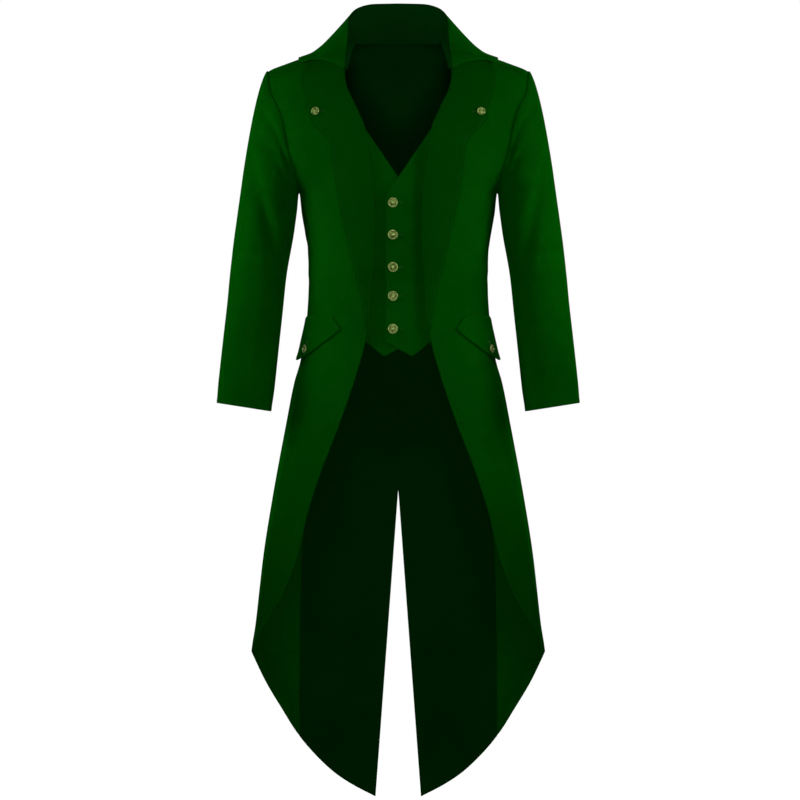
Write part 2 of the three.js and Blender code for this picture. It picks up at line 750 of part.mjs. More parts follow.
function flapPlace(degrees, share) {
  const frontness = 1 - smooth((degrees - FLAP[0].degrees) / 24);
  const z = WAIST_Z - 1 - flapDrop(degrees) * share;
  const standOff = FLAP_STAND_OFF * share ** 1.5;
  return hullPlace(degrees - FLAP_FRONT_SLANT_DEGREES * frontness * share, z, LAYER + EASE + standOff);
}

function flap() {
  const angles = FLAP.map((row) => row.degrees);
  const first = angles[0];
  const last = angles[angles.length - 1];
  return spread(0, 1, 4).map((v) => spread(first, last, 10).map((a) => flapPlace(a, v)));
}

// A shank button: a dished face inside a raised rim
function buttonGeometry(diameter) {
  const r = diameter / 2;
  const profile = [
    [0, 0],
    [0.28 * r, 0],
    [0.28 * r, 0.16 * r],
    [0.9 * r, 0.22 * r],
    [r, 0.34 * r],
    [0.93 * r, 0.45 * r],
    [0.74 * r, 0.38 * r],
    [0.35 * r, 0.46 * r],
    [0, 0.5 * r],
  ];
  const outline = profile.map(([x, y]) => new THREE.Vector2(x, y));
  const lathe = new THREE.LatheGeometry(outline, 14);
  return lathe.rotateX(Math.PI / 2);
}

const materials = {
  cloth: new THREE.MeshStandardMaterial({ color: COLOURS.cloth, roughness: 0.85, metalness: 0 }),
  facing: new THREE.MeshStandardMaterial({ color: COLOURS.facing, roughness: 0.85, metalness: 0 }),
  lining: new THREE.MeshStandardMaterial({ color: COLOURS.lining, roughness: 0.6, metalness: 0 }),
  brass: new THREE.MeshStandardMaterial({ color: COLOURS.brass, roughness: 0.4, metalness: 0.9 }),
};

const coat = new THREE.Group();

function addPiece(name, geometry, material) {
  const mesh = new THREE.Mesh(geometry, material);
  mesh.name = name;
  coat.add(mesh);
  return mesh;
}

function addPair(name, grid, material, thickness = CLOTH) {
  const left = wallGeometry(grid, thickness);
  addPiece(`${name}_left`, left, material);
  addPiece(`${name}_right`, mirrored(left), material);
}

function addButton(name, diameter, { p, n }, thickness = CLOTH) {
  const mesh = addPiece(name, buttonGeometry(diameter), materials.brass);
  mesh.position.copy(p).addScaledVector(n, thickness / 2 + SEAM_GAP);
  mesh.quaternion.setFromUnitVectors(new THREE.Vector3(0, 0, 1), n);
}

function mirroredPlace({ p, n }) {
  const flip = (v) => new THREE.Vector3(-v.x, v.y, v.z);
  return { p: flip(p), n: flip(n) };
}

function addButtonPair(name, diameter, place) {
  addButton(`${name}_left`, diameter, place);
  addButton(`${name}_right`, diameter, mirroredPlace(place));
}

addPair('forepart', drawnIn(forepart()), materials.cloth);
addPair('side_body', drawnIn(sideBody()), materials.cloth);
addPair('back', drawnIn(backPanel()), materials.cloth);
addPair('skirt', drawnIn(skirt()), materials.cloth);
addPair('back_lining', drawnIn(backLining(), { start: true }), materials.lining, LINING_CLOTH);
addPair('revers', drawnIn(revers(), { start: true }), materials.facing);
addPair('upper_sleeve', sleevePart(FORE_SEAM_DEGREES - 360, HIND_SEAM_DEGREES), materials.cloth);
addPair('under_sleeve', sleevePart(HIND_SEAM_DEGREES, FORE_SEAM_DEGREES), materials.cloth);
addPair('pocket_flap', flap(), materials.cloth);
const collarRows = collar();
const collarStand = collarRows.map((row) => row.slice(0, COLLAR_STAND_STEPS + 1));
const collarFall = collarRows.map((row) => row.slice(COLLAR_STAND_STEPS));
const standGeometry = wallGeometry(drawnIn(collarStand, { end: true }, COLLAR_JOINT_GAP), COLLAR_CLOTH);
const fallGeometry = wallGeometry(drawnIn(collarFall, { start: true }, COLLAR_JOINT_GAP), COLLAR_CLOTH);
addPiece('collar_stand', standGeometry, materials.lining);
addPiece('collar_fall', fallGeometry, materials.cloth);
addPiece('waistcoat_right', wallGeometry(waistcoatFront(-1, false), CLOTH), materials.cloth);
addPiece('waistcoat_left', wallGeometry(waistcoatFront(1, true), CLOTH), materials.cloth);

WAISTCOAT_BUTTON_ZS.forEach((z, i) => {
  const place = waistcoatPoint(WAISTCOAT_BUTTON_X, z, LAYER + EASE);
  addButton(`waistcoat_button_${i + 1}`, BUTTON_LARGE, place);
});
addButtonPair(
  'revers_button',
  BUTTON_SMALL,
  hullPlace(
    hullDegrees(REVERS_BUTTON.x, REVERS_BUTTON.z, 'front'),
    REVERS_BUTTON.z,
    LAYER + EASE,
  ),
);
addButtonPair(
  'flap_button',
  BUTTON_SMALL,
  flapPlace(FLAP_BUTTON.degrees, FLAP_BUTTON.drop / flapDrop(FLAP_BUTTON.degrees)),
);

export default coat;
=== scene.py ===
# The looks of a Victorian-style tailcoat with a waistcoat front sewn into it, hanging as if worn.
# Shapes are worked out in millimetres in the frame's axes, +Z up and -Y to the front, and become
# metres where a mesh is made. The wearer's left is +X.
import math
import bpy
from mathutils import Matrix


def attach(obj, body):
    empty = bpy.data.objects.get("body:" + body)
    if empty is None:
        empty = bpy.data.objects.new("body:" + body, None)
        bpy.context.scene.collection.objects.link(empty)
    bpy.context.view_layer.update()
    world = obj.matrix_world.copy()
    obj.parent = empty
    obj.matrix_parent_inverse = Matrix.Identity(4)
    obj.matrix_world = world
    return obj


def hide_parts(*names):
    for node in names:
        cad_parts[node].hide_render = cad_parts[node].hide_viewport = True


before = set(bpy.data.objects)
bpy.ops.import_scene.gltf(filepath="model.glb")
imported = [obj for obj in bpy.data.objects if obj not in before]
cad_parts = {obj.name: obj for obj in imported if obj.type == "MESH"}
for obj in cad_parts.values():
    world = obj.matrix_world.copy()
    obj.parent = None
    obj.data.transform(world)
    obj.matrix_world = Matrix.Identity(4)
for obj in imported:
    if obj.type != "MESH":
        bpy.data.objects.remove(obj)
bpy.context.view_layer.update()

from types import SimpleNamespace

import bpy
import numpy as np
from mathutils import Vector

MM = 0.001

# Cloth and seams
CLOTH = 2.0
COLLAR_CLOTH = 2.4
LINING_CLOTH = 1.2
LINING_EASE = 1.6
LINING_MARGIN = 1.2
SEAM_GAP = 0.3
SEAM_TUCK = 0.3
LAYER = CLOTH + SEAM_GAP
EASE = 0.8
MESH_STEP = 6.5
EDGE_STEPS = (0, 0.3, 0.8, 1.6, 3.0, 4.4, 5.4, 6.4, 8.0)
EDGE_ROUNDING = 1.5
SEAM_ROUNDING = 0.8
TURNED_RISE = 0.4
TURNED_WIDTH = 7
TURNED_FADE = 4
STITCH_INSET = 5.4
STITCH_PITCH = 3.0
STITCH_LENGTH = 2.1
GROOVE_DEPTH = 0.45
GROOVE_WIDTH = 0.9
THREAD_RADIUS = 0.24
THREAD_SIDES = 6
BUTTONHOLE_PITCH = 0.55
BUTTONHOLE_WIDTH = 2.0
BUTTONHOLE_SHOWN = 9.5

# Heights, from the neck points down
NECK_Z = 5
SHOULDER_Z = -49
ARMPIT_Z = -266
SIDE_BACK_TOP_Z = -211.75
WAIST_Z = -486
SKIRT_CORNER_Z = -1091
SIDE_BACK_HEM_Z = -1241
VENT_TOP_Z = -794
TAIL_TIP_Z = -1354
VENT_HALF_GAP = 41

SQUARENESS = 2.2


def table(columns, rows):
    """A short table as one array for each named column."""
    return dict(zip(columns.split(), np.array(rows, float).T))


# A stitch from end to end: place in shares of its length, girth and height in thread radii
SPINDLE = table("place girth height", [
    (-0.5, 0.15, -0.3), (-0.3, 0.85, 0.25), (0, 1, 0.5), (0.3, 0.85, 0.25), (0.5, 0.15, -0.3),
])

HULL = table("z half_width front back", [
    (5, 88, 50, 62),
    (-15, 146, 60, 73),
    (-35, 201, 69, 84),
    (-45, 227, 73, 90),
    (-49, 233.5, 75, 92),
    (-55, 239, 78, 94),
    (-70, 245, 84, 99),
    (-103, 249, 98, 108),
    (-155, 245, 113, 116),
    (-184, 234, 119, 118),
    (-225, 206, 124, 117),
    (-266, 177, 126, 112),
    (-301, 173, 124, 105),
    (-333, 167.5, 120, 98),
    (-364, 162.5, 115, 92),
    (-401, 160.5, 111, 88),
    (-437, 160.5, 109, 89),
    (-486, 163, 109, 95),
    (-529, 169, 112, 104),
    (-569, 175, 116, 112),
    (-608, 186, 119, 118),
    (-685, 201, 122, 126),
    (-808, 224, 121, 132),
    (-919, 242, 115, 136),
    (-1043, 256, 104, 138),
    (-1091, 263, 100, 138),
    (-1354, 272, 96, 136),
])
ARMHOLE = table("z x", [
    (-49, 233.5), (-85, 229), (-103, 220), (-126, 210),
    (-155, 203.5), (-184, 198), (-225, 187.5), (-266, 177),
])
FRONT_EDGE = table("z x", [
    (5, 82), (-10, 87), (-30, 92), (-52, 97), (-72, 94), (-110, 77.5),
    (-149, 61), (-192, 53.5), (-236, 47.5), (-296, 43), (-356, 43), (-415, 47),
    (-475, 51.5), (-532, 59), (-583, 72.5), (-675, 103), (-767, 138), (-841, 162),
    (-929, 184), (-992, 211), (-1033, 236), (-1057, 250), (-1091, 263),
])
HEM_EDGE = table("z x", [
    (-1091, 263), (-1141, 240), (-1197, 209), (-1230, 190),
    (-1260, 168), (-1307, 120), (-1332, 83), (-1354, 41),
])
SIDE_BACK_SEAM = table("z x", [
    (-211.75, 191), (-266, 160), (-333, 138), (-401, 124), (-486, 124), (-569, 136),
    (-700, 155), (-841, 168), (-929, 177), (-1091, 181), (-1236, 182),
])
SIDE_SEAM = table("z degrees", [(-266, 90), (-300, 95), (-486, 99)])
REVERS_EDGE = table("z x", [
    (-22, 132), (-36, 164), (-52, 174), (-70, 175), (-86, 170), (-108, 164),
    (-130, 160), (-142, 154), (-153, 143), (-167, 129), (-180, 122),
    (-220, 117), (-297, 104), (-387, 84), (-470, 65), (-512, 60),
])
REVERS_TOP_Z = -22
REVERS_END_Z = -512
REVERS_ROLL = 3.4
REVERS_SWELL = 0.8

# The sleeve's level sections: centre and half sizes
SLEEVE = table("z x y half_width half_depth", [
    (-268, 231.5, 4, 52.5, 74),
    (-332, 240, 5, 52.5, 71),
    (-415, 252, 2, 50, 66),
    (-470, 257.5, -5, 49.5, 63),
    (-538, 265, -17, 49.5, 61),
    (-608, 272.5, -31, 49.5, 59),
    (-652, 277.5, -40, 48, 57.5),
])
CUFF_Z = -652
CUFF_SLANT = 7.5
CAP_END_Z = -300
SLEEVE_HEAD_LAP = 2
SLEEVE_HEAD_ROLL = 7
FORE_SEAM_DEGREES = 240
HIND_SEAM_DEGREES = 120
SLEEVE_TUCK_DEGREES = 0.4

# Half of the collar, from the middle of the back to its front end
COLLAR = table("at roll_x roll_y roll_z sag_x sag_y sag_z edge_x edge_y edge_z", [
    (0, 0, 70, 74.5, 0, 87, 44, 0, 93, -18),
    (0.2, 43, 62, 73.5, 53, 82, 44, 66, 90, -20),
    (0.36, 70.5, 44, 67, 94, 64, 36, 122, 74, -24),
    (0.52, 88, 18, 48, 121, 32, 14, 163, 42, -26),
    (0.7, 91.5, -12, 23, 122, -4, 2, 178, 2, -28),
    (0.86, 93.5, -44, -8, 124, -36, -14, 178, -24, -31),
    (1, 96.5, -69, -43, 122, -58, -26, 171, -38, -36),
])
COLLAR_HALF_LENGTH = 190
COLLAR_FOLD_RADIUS = 3.2
COLLAR_END_Z = -46
STAND_LAP = (2.4, 4)
COLLAR_STAND_STEPS = 3
COLLAR_FALL_STEPS = 6

# The waistcoat front
WAISTCOAT_INSET = 8
WAISTCOAT_LAP_X = -23
WAISTCOAT_REACH = 104
WAISTCOAT_V_Z = -238
WAISTCOAT_V_SLOPE = 1.47
WAISTCOAT_LENGTH = 330.0
WAISTCOAT_HEM = table("x z", [
    (-23, -534), (0, -547), (20, -557.5), (25, -560.5), (30, -557), (59, -534), (104, -500),
])

# The hip pocket's flap, round the side from front to back, and how far it hangs
FLAP = table("degrees drop", [
    (45, 25), (53, 46), (64, 68), (82, 83), (96, 80), (112, 60), (128, 40), (138, 26),
])
FLAP_LENGTH = 250.0
FLAP_DEPTH = 70.0
FLAP_STAND_OFF = 6
FLAP_FRONT_SLANT_DEGREES = 9

# Buttons
BUTTON_LARGE = 18
BUTTON_SMALL = 15
WAISTCOAT_BUTTON_X = -9.5
WAISTCOAT_BUTTON_ZS = (-284, -342, -400, -452, -511)
REVERS_BUTTON = dict(x=147.5, z=-121)
FLAP_BUTTON = dict(degrees=69, drop=62)

# Folds, each a soft trough from one place to another. On the body a place is an angle round it and
# a height; on the sleeve the angle runs outside 0, back 90, body side 180 and front 270 degrees.
BODY_FOLDS = table("from_degrees from_z to_degrees to_z depth width", [
    (80, -244, 52, -306, 2.4, 9),
    (86, -290, 64, -340, 1.4, 9),
    (90, -366, 56, -394, 2.0, 8),
    (92, -422, 60, -438, 1.6, 9),
    (44, -420, 32, -474, 1.2, 7),
    (66, -150, 58, -228, 1.2, 12),
    (102, -392, 134, -404, 2.6, 8),
    (106, -440, 142, -460, 2.2, 9),
    (148, -416, 178, -432, 1.8, 9),
    (118, -236, 148, -306, 2.8, 12),
    (150, -110, 158, -240, 1.8, 15),
    (166, -250, 172, -390, 1.4, 12),
    (58, -590, 70, -790, 3.0, 14),
    (80, -640, 84, -960, 2.6, 17),
    (112, -600, 118, -990, 4.4, 20),
    (146, -560, 150, -930, 3.8, 22),
    (164, -700, 160, -1210, 3.4, 19),
])
SLEEVE_FOLDS = table("from_degrees from_z to_degrees to_z depth width", [
    (324, -100, 226, -236, 6.5, 6),
    (332, -186, 296, -276, 4.5, 9),
    (316, -218, 232, -408, 10.0, 12),
    (292, -178, 234, -250, 4.0, 7),
    (276, -296, 230, -356, 3.4, 7),
    (60, -150, 128, -240, 7, 10),
    (76, -236, 140, -300, 4, 9),
    (96, -330, 160, -424, 6, 10),
    (74, -384, 132, -452, 3.4, 9),
    (262, -404, 212, -446, 3.2, 8),
    (320, -448, 254, -490, 2.2, 9),
    (58, -474, 120, -506, 2.4, 10),
    (350, -250, 334, -420, 1.4, 12),
    (286, -552, 262, -622, 1.6, 10),
    (30, -560, 80, -600, 1.6, 11),
])
BODY_MM_PER_DEGREE = 2.7
SLEEVE_MM_PER_DEGREE = 0.95
FOLD_SHIFT = 5
FOLD_RIDGE = 0.45
HANG_DEPTH = 5


# Curves and the hull

def curve(rows, column, key="z"):
    """A smooth curve through one column of a table, with no overshoot between its rows."""
    order = np.argsort(rows[key])
    at, value = rows[key][order], rows[column][order]
    secant = np.diff(value) / np.diff(at)
    product = secant[:-1] * secant[1:]
    total = secant[:-1] + secant[1:]
    safe = np.where(total == 0, 1, total)
    inner = np.where(product <= 0, 0, 2 * product / safe)
    slope = np.concatenate([secant[:1], inner, secant[-1:]])

    def evaluate(x):
        x = np.clip(np.asarray(x, float), at[0], at[-1])
        i = np.clip(np.searchsorted(at, x) - 1, 0, len(at) - 2)
        span = at[i + 1] - at[i]
        t = (x - at[i]) / span
        ease_in, ease_out = t**3 - 2 * t**2 + t, t**3 - t**2
        rise = 3 * t**2 - 2 * t**3
        ends = value[i] + (value[i + 1] - value[i]) * rise
        return ends + span * (slope[i] * ease_in + slope[i + 1] * ease_out)

    return evaluate


def smooth(t):
    t = np.clip(t, 0, 1)
    return t * t * (3 - 2 * t)


def mix(a, b, t):
    return a + (b - a) * t


def unit(v):
    return v / np.maximum(np.linalg.norm(v, axis=-1, keepdims=True), 1e-9)


hull_half_width = curve(HULL, "half_width")
hull_front = curve(HULL, "front")
hull_back = curve(HULL, "back")
armhole_x = curve(ARMHOLE, "x")
front_edge_x = curve(FRONT_EDGE, "x")
hem_edge_x = curve(HEM_EDGE, "x")
side_back_x = curve(SIDE_BACK_SEAM, "x")
side_seam_degrees = curve(SIDE_SEAM, "degrees")
revers_edge_x = curve(REVERS_EDGE, "x")
waistcoat_hem_z = curve(WAISTCOAT_HEM, "z", "x")
flap_drop = curve(FLAP, "drop", "degrees")


def hull_level(p):
    """1 on the hull and more outside it."""
    depth = np.where(p[..., 1] < 0, hull_front(p[..., 2]), hull_back(p[..., 2]))
    across = np.abs(p[..., 0]) / hull_half_width(p[..., 2])
    return across**SQUARENESS + (np.abs(p[..., 1]) / depth) ** SQUARENESS


def hull_gradient(p):
    step = 0.5 * np.eye(3)
    return np.stack([hull_level(p + step[i]) - hull_level(p - step[i]) for i in range(3)], axis=-1)


def hull_point(degrees, z):
    """A point of the hull at an angle round it: 0 is the middle of the front, 180 of the back."""
    degrees, z = np.broadcast_arrays(np.asarray(degrees, float), np.asarray(z, float))
    angle, power = np.radians(degrees), 2 / SQUARENESS
    depth = np.where(degrees < 90, -hull_front(z), hull_back(z))
    x = hull_half_width(z) * np.sign(np.sin(angle)) * np.abs(np.sin(angle)) ** power
    return np.stack([x, depth * np.abs(np.cos(angle)) ** power, z], axis=-1)


def hull_degrees(x, z, half):
    """The angle at which the hull is x wide, on its front or its back half."""
    share = np.clip(np.asarray(x, float) / hull_half_width(z), 0, 1)
    degrees = np.degrees(np.arcsin(share ** (SQUARENESS / 2)))
    return degrees if half == "front" else 180 - degrees


def lift_off(p, distance):
    """Moves points out along the hull's normal until they are that far outside it."""
    p = np.array(p, float)
    for _ in range(6):
        gradient = hull_gradient(p)
        length = np.linalg.norm(gradient, axis=-1)
        short = distance - (hull_level(p) - 1) / length
        p += unit(gradient) * np.maximum(short, 0)[..., None]
    return p


def degrees_apart(angle, degrees):
    """How far one angle is from another, the shorter way round."""
    return (angle - degrees + 540) % 360 - 180


def folds(rows, degrees, z, side, mm_per_degree):
    """How deep the folds press in at each place. The coat's two sides crease unlike each other."""
    depth = np.zeros(np.broadcast(degrees, z).shape)
    for i in range(len(rows["depth"])):
        shift = FOLD_SHIFT * side * math.sin(2.1 * i + 0.6)
        ax = degrees_apart(rows["from_degrees"][i], degrees) * mm_per_degree
        bx = degrees_apart(rows["to_degrees"][i], degrees) * mm_per_degree
        az, bz = rows["from_z"][i] + shift - z, rows["to_z"][i] + shift * 1.6 - z
        t = np.clip(-(ax * (bx - ax) + az * (bz - az)) / ((bx - ax) ** 2 + (bz - az) ** 2), 0, 1)
        dx, dz, width = mix(ax, bx, t), mix(az, bz, t), rows["width"][i]
        aside = (dx * (bz - az) - dz * (bx - ax)) / np.hypot(bx - ax, bz - az)
        apart = dx**2 + dz**2
        trough = np.exp(-apart / width**2)
        beside = apart - aside**2 + (aside + 1.6 * width) ** 2
        near = trough - FOLD_RIDGE * np.exp(-beside / (1.2 * width) ** 2)
        strength = rows["depth"][i] * (1 + 0.15 * side * math.cos(1.7 * i))
        depth = depth + strength * near * np.sin(math.pi * mix(0.12, 0.88, t))
    return depth


def hang(degrees, z):
    """The slow waves in which the skirts hang, deeper towards the hem."""
    fall = np.clip((WAIST_Z - z) / (WAIST_Z - TAIL_TIP_Z), 0, 1)
    waves = np.sin(np.radians(degrees * 4.6 - 20)) + 0.5 * np.sin(np.radians(degrees * 9 + 35))
    return HANG_DEPTH * fall * waves * smooth(np.abs(degrees - 90) / 22)


def body_place(degrees, z, lift=0.0, side=1):
    """Points and normals of the coat's body, with its folds, lift outside the hull."""
    p = hull_point(degrees, z)
    n = unit(hull_gradient(p))
    out = lift + hang(degrees, z) - folds(BODY_FOLDS, degrees, z, side, BODY_MM_PER_DEGREE)
    return p + n * out[..., None], n


# The edges of the panels, each as the angle round the hull at a height

def vent_x(z):
    return VENT_HALF_GAP * np.maximum(0, (VENT_TOP_Z - z) / (VENT_TOP_Z - TAIL_TIP_Z))


def fore_edge(z):
    hem = hull_degrees(hem_edge_x(z), z, "back")
    return np.where(z < SKIRT_CORNER_Z, hem, hull_degrees(front_edge_x(z), z, "front"))


def centre_back(z):
    return hull_degrees(vent_x(z), z, "back")


def side_back(z):
    return hull_degrees(side_back_x(z), z, "back")


def fore_side(z):
    armhole = hull_degrees(armhole_x(z), z, "front")
    upper = np.where(z >= SHOULDER_Z, 90, armhole)
    return np.where(z <= ARMPIT_Z, side_seam_degrees(z), upper)


def back_side(z):
    armhole = hull_degrees(armhole_x(z), z, "back")
    upper = np.where(z >= SHOULDER_Z, 90, armhole)
    seam = np.where(z <= SIDE_BACK_TOP_Z, side_back(z), upper)
    return np.where(z < SIDE_BACK_HEM_Z, hull_degrees(hem_edge_x(z), z, "back"), seam)


def side_body_front(z):
    armhole = hull_degrees(armhole_x(z), z, "back")
    return np.where(z <= ARMPIT_Z, side_seam_degrees(z), armhole)


# Grids of cloth

def levels(top, bottom, *also):
    """Heights of rows: close together on the shoulders and at both ends, even elsewhere."""
    shoulders = np.arange(NECK_Z, SHOULDER_Z - 14, -2.2)
    even = np.arange(SHOULDER_Z - 14, TAIL_TIP_Z, -MESH_STEP)
    ends = [top - d for d in EDGE_STEPS] + [bottom + d for d in EDGE_STEPS]
    border = EDGE_STEPS[-1] + 1
    inside = [z for z in (*shoulders, *even) if bottom + border < z < top - border]
    return np.array(sorted({*inside, *ends, *also}, reverse=True), float)


def columns(width, step=MESH_STEP):
    """Shares across rows of these widths: close together at both ends, even elsewhere."""
    width = np.asarray(width, float)
    count = max(3, int(np.max(width) / step))
    near = np.array(EDGE_STEPS[:-1]) / EDGE_STEPS[-1]
    inset = np.minimum(EDGE_STEPS[-1] / np.maximum(width, 0.01), 0.3)[:, None]
    middle = inset + (1 - 2 * inset) * np.linspace(0, 1, count)
    return np.concatenate([near * inset, middle, 1 - near[::-1] * inset], axis=1)


def body_panel(z, start, end, lift=None, tuck=SEAM_TUCK, side=1):
    """Level rows between two edges of the body. tuck carries each edge a little past its seam."""
    a, b = start(z), end(z)
    width = np.abs(b - a) * hull_half_width(z) * math.pi / 180
    per_mm = (b - a) / np.maximum(width, 0.01)
    tuck_start, tuck_end = (tuck, tuck) if np.isscalar(tuck) else tuck
    a, b = a - tuck_start * per_mm, b + tuck_end * per_mm
    u = columns(width)
    degrees = mix(a[:, None], b[:, None], u)
    zz = np.broadcast_to(z[:, None], degrees.shape)
    out = np.zeros(degrees.shape) if lift is None else lift(u * width[:, None], u)
    p, n = body_place(degrees, zz, out, side)
    return SimpleNamespace(p=p, n=n)


def along_rows(p):
    """Distance from each row's start and from its end."""
    step = np.linalg.norm(np.diff(p, axis=1), axis=-1)
    run = np.concatenate([np.zeros((len(p), 1)), np.cumsum(step, axis=1)], axis=1)
    return run, run[:, -1:] - run


def edge_distances(p):
    """Distance of each place from the grid's start, end, first and last edges."""
    start, end = along_rows(p)
    first, last = along_rows(np.swapaxes(p, 0, 1))
    return dict(start=start, end=end, first=first.T, last=last.T)


def mesh_object(name, points, faces, uvs, material):
    """A smooth mesh in metres, riding on the coat's one body."""
    mesh = bpy.data.meshes.new(name)
    mesh.from_pydata((points * MM).tolist(), [], faces.tolist())
    layer = mesh.uv_layers.new(name="cloth")
    corner = np.empty(len(mesh.loops), np.int32)
    mesh.loops.foreach_get("vertex_index", corner)
    layer.data.foreach_set("uv", (uvs[corner] * MM).astype(np.float32).ravel())
    mesh.polygons.foreach_set("use_smooth", np.ones(len(mesh.polygons), bool))
    mesh.materials.append(material)
    mesh.update()
    piece = bpy.data.objects.new(name, mesh)
    bpy.context.scene.collection.objects.link(piece)
    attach(piece, "root")
    return piece


def wall_faces(away, free, thickness):
    """How far the inner and the outer face lie from the middle of the cloth. A free edge is turned
    in and stitched, so it is a little thicker and has a fine groove along its stitches."""
    shape = away["start"].shape
    half = np.full(shape, thickness / 2)
    turned = np.zeros(shape)
    groove = np.zeros(shape)
    for edge, d in away.items():
        rounding = EDGE_ROUNDING if edge in free else SEAM_ROUNDING
        rounded = np.sqrt(np.clip(1 - (1 - np.minimum(d / rounding, 1)) ** 2, 0, 1))
        half = np.minimum(half, thickness / 2 * rounded)
        if edge in free:
            fade = 1 - smooth((d - TURNED_WIDTH) / TURNED_FADE)
            turned = np.maximum(turned, TURNED_RISE * smooth(d / EDGE_ROUNDING) * fade)
            beside = (d - STITCH_INSET) / GROOVE_WIDTH
            groove = np.maximum(groove, GROOVE_DEPTH * np.exp(-(beside**2)))
    return half, half + turned - np.minimum(groove, half)


def cloth(name, grid, slot, free=(), thickness=CLOTH, side=1):
    """One cut piece: a closed wall that thins to a rounded edge all round."""
    p, n = grid.p, grid.n
    away = edge_distances(p)
    half, raised = wall_faces(away, free, thickness)
    outer = p + n * raised[..., None]
    inner = p - n * half[..., None]
    rows, count = p.shape[:2]
    border = np.zeros((rows, count), bool)
    border[[0, -1], :] = True
    border[:, [0, -1]] = True
    front = np.arange(rows * count).reshape(rows, count)
    back = np.where(border, front, 0)
    back[~border] = rows * count + np.arange(np.count_nonzero(~border))
    outer[border] = p[border]
    points = np.concatenate([outer.reshape(-1, 3), inner[~border]])
    outer_faces, inner_faces = (
        np.stack([g[:-1, :-1], g[:-1, 1:], g[1:, 1:], g[1:, :-1]], axis=-1).reshape(-1, 4)
        for g in (front, back)
    )
    along = np.mean(away["start"] - away["end"], axis=1, keepdims=True) / 2
    unfolded = np.stack([away["start"] - along, -away["first"]], axis=-1)
    uvs = np.concatenate([unfolded.reshape(-1, 2), unfolded[~border]])
    middle = rows // 2, count // 2
    across = p[middle[0], middle[1] + 1] - p[middle]
    down = p[middle[0] + 1, middle[1]] - p[middle]
    facing = np.cross(down, across) @ n[middle]
    if facing * side < 0:
        inner_faces = inner_faces[:, ::-1]
    else:
        outer_faces = outer_faces[:, ::-1]
    faces = np.concatenate([outer_faces, inner_faces])
    points[:, 0] *= side
    piece = mesh_object(name + "_cloth", points, faces, uvs, LOOKS[slot])
    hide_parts(name)
    top = SimpleNamespace(p=outer, n=n, away=away)
    lines = [stitch_line(top, edge, free) for edge in free]
    if lines:
        add_stitches(name + "_stitches", lines, side)
    measured, area = cut_size(p)


def stitch_line(top, edge, free):
    """The places along a grid that lie one inset in from an edge, clear of other stitched edges."""
    swap = edge in ("first", "last")
    p, n, d = top.p, top.n, top.away[edge]
    across = ("first", "last") if not swap else ("start", "end")
    clear = np.minimum.reduce([
        top.away[other] - (STITCH_INSET if other in free else 0) for other in across
    ])
    if swap:
        p, n, d, clear = np.swapaxes(p, 0, 1), np.swapaxes(n, 0, 1), d.T, clear.T
    if edge in ("end", "last"):
        p, n, d, clear = p[:, ::-1], n[:, ::-1], d[:, ::-1], clear[:, ::-1]
    i = np.argmax(d >= STITCH_INSET, axis=1)
    rows = np.arange(len(p))
    share = (STITCH_INSET - d[rows, i - 1]) / (d[rows, i] - d[rows, i - 1])
    keep = (i > 0) & (clear[rows, i] > 0.5)
    line = mix(p[rows, i - 1], p[rows, i], share[:, None])
    return line[keep], n[rows, i][keep]


def add_stitches(
    name, lines, side, pitch=STITCH_PITCH, length=STITCH_LENGTH, across=False
):
    """Short stitches of thread along lines, or across them. Each is a spindle whose ends dip in."""
    angle = np.linspace(0, 2 * math.pi, THREAD_SIDES, endpoint=False)
    points, faces, count = [], [], 0
    ring = np.arange(THREAD_SIDES)
    after = np.roll(ring, -1)
    band = np.stack([ring, after, THREAD_SIDES + after, THREAD_SIDES + ring], axis=-1)
    bands = len(SPINDLE["place"]) - 1
    pattern = np.concatenate([band + k * THREAD_SIDES for k in range(bands)])
    for line, normals in lines:
        if len(line) < 2:
            continue
        step = np.linalg.norm(np.diff(line, axis=0), axis=-1)
        run = np.concatenate([[0], np.cumsum(step)])
        at = np.arange(pitch, run[-1] - pitch, pitch)
        centre = np.stack([np.interp(at, run, line[:, k]) for k in range(3)], axis=-1)
        ahead = np.stack([np.interp(at + 0.5, run, line[:, k]) for k in range(3)], axis=-1)
        up = unit(np.stack([np.interp(at, run, normals[:, k]) for k in range(3)], axis=-1))
        along = unit(ahead - centre)
        beside = np.cross(up, along)
        if across:
            along, beside = beside, -along
        spindle = [
            centre[:, None] + along[:, None] * length * place + up[:, None] * THREAD_RADIUS * height
            + THREAD_RADIUS * girth * (
                beside[:, None] * np.cos(angle)[None, :, None]
                + up[:, None] * np.sin(angle)[None, :, None]
            )
            for place, girth, height in zip(*SPINDLE.values())
        ]
        stacked = np.concatenate(spindle, axis=1)
        points.append(stacked.reshape(-1, 3))
        starts = count + np.arange(len(at)) * stacked.shape[1]
        faces.append((pattern[None] + starts[:, None, None]).reshape(-1, 4))
        count += stacked.shape[0] * stacked.shape[1]
    points, faces = np.concatenate(points), np.concatenate(faces)
    points[:, 0] *= side
    if side < 0:
        faces = faces[:, ::-1]
    mesh_object(name, points, faces, points[:, :2], THREAD_LOOK)


def cut_size(p):
    """The width and length of a piece's flat cloth and the piece's area, in metres."""
    a, b, c, d = p[:-1, :-1], p[:-1, 1:], p[1:, 1:], p[1:, :-1]
    area = float(np.linalg.norm(np.cross(c - a, d - b), axis=-1).sum() / 2) * MM * MM
    width = float(np.max(along_rows(p)[0])) * MM
    row = np.gradient(p, axis=1)
    row = unit(row[:-1] + row[1:])
    step = np.diff(p, axis=0)
    square = step - row * np.sum(step * row, axis=-1, keepdims=True)
    length = float(np.max(np.sum(np.linalg.norm(square, axis=-1), axis=0))) * MM
    return (max(width, area / length), length), area


# Materials

